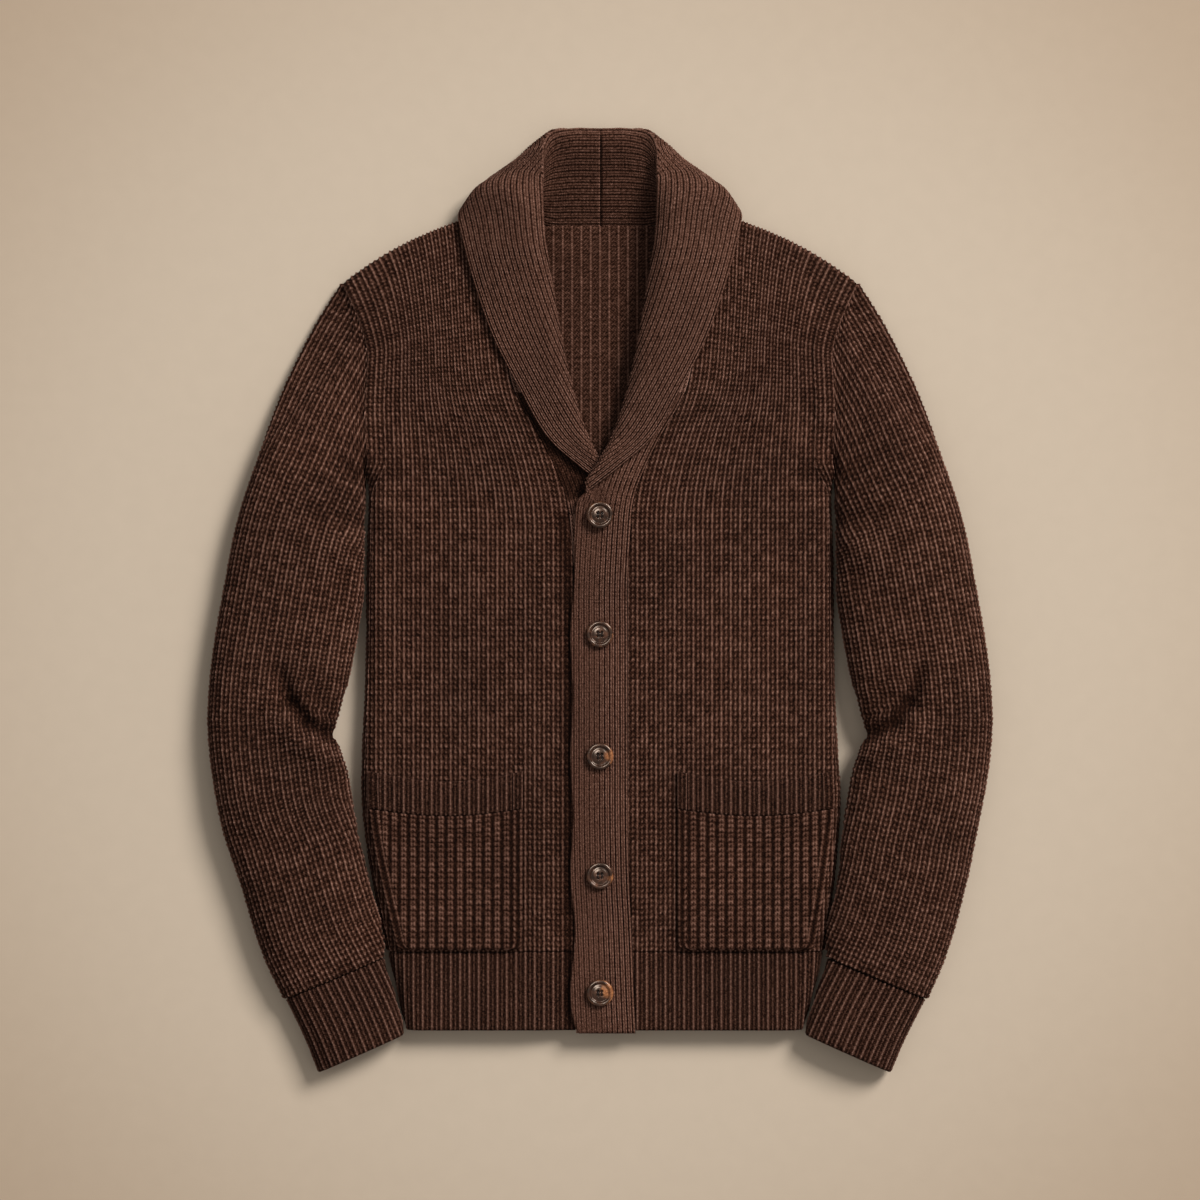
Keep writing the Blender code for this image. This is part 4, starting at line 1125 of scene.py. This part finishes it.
def make_band(node, side):
    """One strip, with its face and its back built up from the middle layer."""
    controls = band_controls(side)
    k, v = band_sections(controls)
    points, places = band_middle(controls, k)
    out = unit(np.cross(np.gradient(points, axis=0), np.gradient(points, axis=1)))
    k, v = k[:, None], v[:, None]
    ends = np.minimum(np.minimum(places, places[:, -1:] - places), (v[-1] - v) * BAND_ROW)
    drawn_in = rounded(ends, 1.5)
    points[..., 0] -= COLLAR["sx"][0] * (1 - ease(k, 0, 1))

    # The face: the stand and the fall of the collar.
    roll = places[:, STAND_RIBS * STAND_FINE, None]
    fall_ribs = np.minimum(FALL_RIBS, (places[:, -1:] - roll) / FALL_RIB_PITCH)
    stand_u = np.linspace(-STAND_RIBS, 0, STAND_RIBS * STAND_FINE + 1)[:-1] + 0 * k
    collar_u = np.hstack([stand_u, np.linspace(-1, 0, FALL_RIBS * BAND_FINE + 1) * fall_ribs])
    standing = 1 - ease(places, roll - 14, roll)
    back_seam = (-0.5 if side > 0 else 0.2) * bump(v * BAND_ROW - 0.6, 1.1)
    # Painted shade: the stand's relief is 0.13 lower inside the neck, which darkens it and sinks it a little.
    relief = np.clip(collar_ribs(collar_u, v) + (back_seam - 0.13) * standing, 0, 1)
    clear = np.maximum(ease(out[..., 2], -0.3, 0.3), ease(points[..., 2], 3, 7))
    move = WALL / 2 + (relief * 1.3 - 0.6) * clear - drawn_in
    columns = np.arange(points.shape[1])
    rows = kept_steps(len(k), 8, k[:, 0] < FACE_END)
    face_points = (points + out * move[..., None])[rows]
    face = Skin(face_points, collar_u[rows], v[rows], relief[rows], rows, columns)

    # The back: the placket, and on the wearer's right only its top, which the other fall leaves in the dark.
    # There its relief is cut as painted shade, which also sinks its stitches a little.
    placket_u = places / PLACKET_RIB_PITCH
    shown = ease(k, 8.6, 9.4) * ((side > 0) | (k < FACE_END))
    painted_fall_shade = ease(k, 8.0, 9.0) * (1 - ease(k, 12.4, 13.0)) * (side < 0)
    relief = placket_ribs(placket_u, v) * (1 - 0.6 * painted_fall_shade)
    move = WALL / 2 + (relief * 1.2 - 0.7) * shown - drawn_in
    relief = np.where(shown + 0 * places > 0.5, relief, -1.0)
    rows, columns = kept_steps(len(k), 8, shown[:, 0] > 0), columns[::2]
    some = np.ix_(rows, columns)
    back_points = (points - out * move[..., None])[some]
    back = Skin(back_points, placket_u[some], v[rows], relief[some], rows, columns)
    note_cut(node, places[:, -1], v[:, 0] * BAND_ROW)
    cloth(node, *side_of((face, back), side), band_wool)


for word, side in SIDES:
    make_band(f"band_{word}", side)

# %% [markdown]
# ## The pockets
# A patch pocket lies on the front, so its surface is the front's own surface moved out. The top edge sags a
# little in the middle and stands off, as a pocket that has been used does.

# %% Pockets and their ribbed tops


def pocket_edge(t, side):
    """Where the pocket's outer edge lies, a little round the side of the body."""
    return side_x(t, side) - SIDE_RUN + 4.5 + 2.5 * ease(t, -300, -180)


def patch_surface(s, t, side, thick):
    """The outside of a patch, at a cloth distance and a height on the front."""
    hang = (s - POCKET_INNER_X) / (pocket_edge(t, side) - POCKET_INNER_X)
    hang = np.sin(math.pi * np.clip(hang, 0, 1))
    at = t - POCKET_SAG * hang * ease(t, POCKET_TOP_Y - 90, POCKET_TOP_Y)
    puff = POCKET_PUFF * hang * ease(t, POCKET_BOTTOM_Y, POCKET_TOP_Y)
    points, out = with_normals(body_surface, s, at, side, True)
    return points + out * (1.6 + thick + puff)[..., None]


def patch(node, side, low, high, knit, thick):
    t, v = stitch_rows(low, high, knit.row_height)
    below = np.clip((POCKET_BOTTOM_Y + POCKET_CORNER - t) / POCKET_CORNER, 0, 1)
    corner = POCKET_CORNER * (1 - np.sqrt(1 - below**2))
    s, u = panel_columns(POCKET_INNER_X + corner, pocket_edge(t, side) - corner, 1, 1)
    panel(node, side, s, u, t, v, patch_surface, (side, thick), knit, thick)


welt_seam = POCKET_TOP_Y - WELT_DEPTH
for word, side in SIDES:
    patch(f"pocket_{word}", side, POCKET_BOTTOM_Y, welt_seam, POCKET_KNIT, 2.4)
    patch(f"welt_{word}", side, welt_seam, POCKET_TOP_Y, WELT_KNIT, 2.6)

# %% [markdown]
# ## The buttons
# Each button is a turned disc: a profile of radius and height swept round. Four pits are pressed into its
# middle where the holes are, and two strands of yarn run side by side from hole to hole. The horn is dark
# with warm amber patches, and those are stored in an attribute, so that each button has its own. The same
# attribute paints a faint amber ring along the rim as a highlight.

# %% Horn and yarn
BUTTON_SEGMENTS = 72
BUTTON_THICK = 3.4
HOLE_OFFSET = 1.7  # of each hole from the button's two middle lines
RIM_RADIUS = 11.2  # a painted highlight: a faint amber ring along the rim, at this radius
# The turned profile from the middle of the top, out round the rim and back to the middle underneath.
PROFILE = table(
    "radius height",
    (0, 0.78),
    (3.0, 0.76),
    (5.4, 0.66),
    (7.0, 0.5),
    (7.6, 0.46),
    (8.3, 0.7),
    (9.2, 0.97),
    (10.2, 1.0),
    (11.2, 0.86),
    (11.8, 0.55),
    (11.2, 0.2),
    (9.6, 0.0),
    (0, 0.0),
)
# Amber patches: the button's number, the patch's place on it, how wide it is and how strong.
AMBER = table(
    "button x y wide strong",
    (1, -4, 3, 7, 0.16),
    (2, 4, -3, 8, 0.2),
    (3, 8, 1, 5.5, 0.9),
    (4, 9, -2, 3.4, 0.7),
    (5, 7, 2, 7.5, 1.0),
    (5, -7, -6, 4, 0.3),
)


def horn_finish():
    finish = Finish(
        "polished_horn", Roughness=0.24, Coat_Weight=0.14, Coat_Roughness=0.12, Specular_IOR_Level=0.45
    )
    finish.shader.inputs["Specular Tint"].default_value = (1.0, 0.8, 0.65, 1)
    amber = finish.node("ShaderNodeAttribute", {"attribute_name": "amber"}, output="Fac")
    cloud = finish.noise(130, 3.0, Distortion=1.4)
    streak = finish.noise(420, 2.0, Distortion=2.0)
    stops = (0.3, (0.010, 0.0035, 0.0018)), (0.55, (0.034, 0.013, 0.007)), (0.8, (0.12, 0.05, 0.028))
    dark = finish.ramp(cloud, *stops)
    warm = finish.ramp(streak, (0.35, (0.14, 0.045, 0.016)), (0.7, (0.36, 0.145, 0.055)))
    mixed = (amber + (cloud - 0.5) * 1.3 * amber).within(0.3, 0.75)
    normal = finish.node("ShaderNodeBump", {}, {"Height": streak, "Strength": 0.05, "Distance": 0.0003})
    return finish.surface(Base_Color=finish.blend(mixed, dark, warm), Normal=normal)


def yarn_finish():
    finish = Finish("sewing_yarn", Roughness=0.8, Specular_IOR_Level=0.3)
    twist = finish.noise(900, 2.0)
    color = finish.ramp(twist, (0.35, (0.003, 0.0015, 0.001)), (0.7, (0.014, 0.007, 0.005)))
    return finish.surface(Base_Color=color)


horn = horn_finish()
sewing_yarn = yarn_finish()
print("finishes:", horn.name, sewing_yarn.name)

# %% Turning the buttons


def button_piece(number, middle_x, middle_y, base):
    """One button round the given middle, standing on height base."""
    around = lengths(np.stack([PROFILE["radius"], PROFILE["height"] * BUTTON_THICK], axis=1))
    fine = np.concatenate([np.linspace(0, around[4], 26), np.linspace(around[4], around[-1], 34)[1:]])
    radius = np.maximum(curve(fine, around, PROFILE["radius"]), 0)[:, None]
    radius[[0, -1]] = 0
    height = curve(fine, around, PROFILE["height"])[:, None] * BUTTON_THICK
    turn = np.linspace(0, 2 * math.pi, BUTTON_SEGMENTS, endpoint=False)[None]
    x, y = radius * np.cos(turn), radius * np.sin(turn)
    top = np.arange(len(fine))[:, None] < len(fine) * 0.7
    gap = np.hypot(np.abs(x) - HOLE_OFFSET, np.abs(y) - HOLE_OFFSET)
    height = height - top * 2.4 * (1 - ease(gap, 0.8, 1.45))
    # Painted highlight: a faint amber ring along the rim, where the rim catches the light.
    amber = 0.4 * bump(radius - RIM_RADIUS, 0.8) + 0 * x
    for patch_number, at_x, at_y, wide, strong in zip(*AMBER.values()):
        if patch_number == number:
            amber += strong * bump(np.hypot(x - at_x, y - at_y), wide)
    points = np.stack([middle_x + x, middle_y + y, base + height + 0 * x], axis=-1)
    ids = np.arange(x.size).reshape(x.shape)
    ids = np.hstack([ids, ids[:, :1]])
    mesh = bpy.data.meshes.new(f"button_{number}_horn")
    mesh.from_pydata((points * MM).reshape(-1, 3), [], grid_faces(ids))
    mesh.attributes.new("amber", "FLOAT", "POINT").data.foreach_set("value", amber.ravel())
    return finished_piece(mesh, horn)


def strands(number, middle_x, middle_y, base):
    """Two strands of yarn between the holes of a button: bent tubes that dive into the pits."""
    along = np.linspace(-1, 1, 21)
    turn = np.linspace(0, 2 * math.pi, 10, endpoint=False)
    thick = 0.4 * np.sqrt(np.maximum(1 - np.abs(along) ** 8, 0))
    points, faces = [], []
    for x in (-HOLE_OFFSET, HOLE_OFFSET):
        height = base + BUTTON_THICK * 0.78 + 0.25 - 1.5 * ease(np.abs(along), 0.62, 1)
        line_y = middle_y + 2.1 * along
        rings = np.stack(
            [
                middle_x + x + np.outer(thick, np.cos(turn)),
                line_y[:, None] + 0 * turn,
                height[:, None] + np.outer(thick, np.sin(turn)),
            ],
            axis=-1,
        )
        ids = sum(len(part) for part in points) + np.arange(rings.size // 3).reshape(rings.shape[:2])
        faces.append(grid_faces(np.hstack([ids, ids[:, :1]])))
        points.append(rings.reshape(-1, 3))
    mesh = bpy.data.meshes.new(f"button_{number}_yarn")
    mesh.from_pydata(np.concatenate(points) * MM, [], np.concatenate(faces))
    return finished_piece(mesh, sewing_yarn)


for number in range(1, 6):
    low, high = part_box(f"button_{number}")
    middle = (low + high) / 2 / MM
    base = low.z / MM
    pieces[f"button_{number}"] = button_piece(number, middle.x, middle.y, base)
    yarn = strands(number, middle.x, middle.y, base)
    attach(yarn, "root")

# %% [markdown]
# ## The table, the light and the camera
# The cardigan is shown from straight above on a pale warm surface, painted lighter in the middle as a pool
# of light. One broad light stands beyond the wearer's left shoulder, 37 degrees up, so shadows fall towards
# the other hip and every rib is lit from its side. A warm world fills the shadows. A smaller panel adds no
# diffuse light, so what it lights up is the gleam of the buttons. The camera looks down from four metres with
# a long lens, so that nothing leans.

# %% The surface it lies on
TABLE_SIZE = 4.0
TABLE_Z = -0.0006


def table_finish():
    finish = Finish("pale_surface", Roughness=0.9, Specular_IOR_Level=0.1)
    place = finish.place()
    away = finish.node("ShaderNodeVectorMath", {"operation": "LENGTH"}, {0: place}, 1)
    grain = finish.noise(60, 2.0)
    near, far = (0.485, 0.403, 0.315, 1), (0.365, 0.277, 0.198, 1)
    # Painted pool of light: the surface is lighter in the middle and darker further out.
    color = finish.blend(away.within(0.38, 0.86), near, far)
    spots = finish.ramp(grain, (0.3, (0.99, 0.99, 0.99)), (0.7, (1.01, 1.01, 1.01)))
    return finish.surface(Base_Color=finish.blend(1.0, color, spots, "MULTIPLY"))


half = TABLE_SIZE / 2
mesh = bpy.data.meshes.new("table_top")
corners = [(-half, -half, TABLE_Z), (half, -half, TABLE_Z), (half, half, TABLE_Z), (-half, half, TABLE_Z)]
mesh.from_pydata(corners, [], [(0, 1, 2, 3)])
mesh.materials.append(table_finish())
table_top = bpy.data.objects.new("table_top", mesh)
bpy.context.scene.collection.objects.link(table_top)
print("table:", TABLE_SIZE, "m square")

# %% Light and camera
scene = bpy.context.scene


def area_light(name, energy, size, place, color):
    """A square light at a place, turned to face the middle of the cardigan."""
    light = bpy.data.lights.new(name, "AREA")
    light.energy = energy
    light.size = size
    light.color = color
    lamp = bpy.data.objects.new(name, light)
    lamp.location = place
    lamp.rotation_euler = (-lamp.location).to_track_quat("-Z", "Y").to_euler()
    scene.collection.objects.link(lamp)
    return lamp


area_light("window_light", 1850, 4.2, (6.4, 6.6, 7.0), (1.0, 0.975, 0.95))
gleam = area_light("gleam_panel", 330, 2.3, (-1.6, 2.2, 6.0), (1.0, 0.94, 0.88))
gleam.visible_diffuse = False
world = bpy.data.worlds.new("warm_fill")
world.use_nodes = True
world.node_tree.nodes["Background"].inputs["Color"].default_value = (1.0, 0.975, 0.945, 1)
world.node_tree.nodes["Background"].inputs["Strength"].default_value = 0.42
scene.world = world

camera = bpy.data.cameras.new("overhead")
camera.sensor_width = 36
camera.lens = 135.95
overhead = bpy.data.objects.new("overhead", camera)
overhead.location = (0, 0.0004, 4)
scene.collection.objects.link(overhead)
scene.camera = overhead
scene.view_settings.view_transform = "Standard"
print("camera height:", overhead.location.z, "m")

# %% [markdown]
# ## Handing the pieces over
# Each piece rides the cardigan's one body and takes the place of the solid it dresses. The width and length
# each sheet would have laid flat are printed.

for node, piece in pieces.items():
    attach(piece, "root")
    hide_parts(node)
    if node in cuts:
        width, length, area = cuts[node]
        print(f"{node}: cut {1000 * width:.0f} x {1000 * length:.0f} mm")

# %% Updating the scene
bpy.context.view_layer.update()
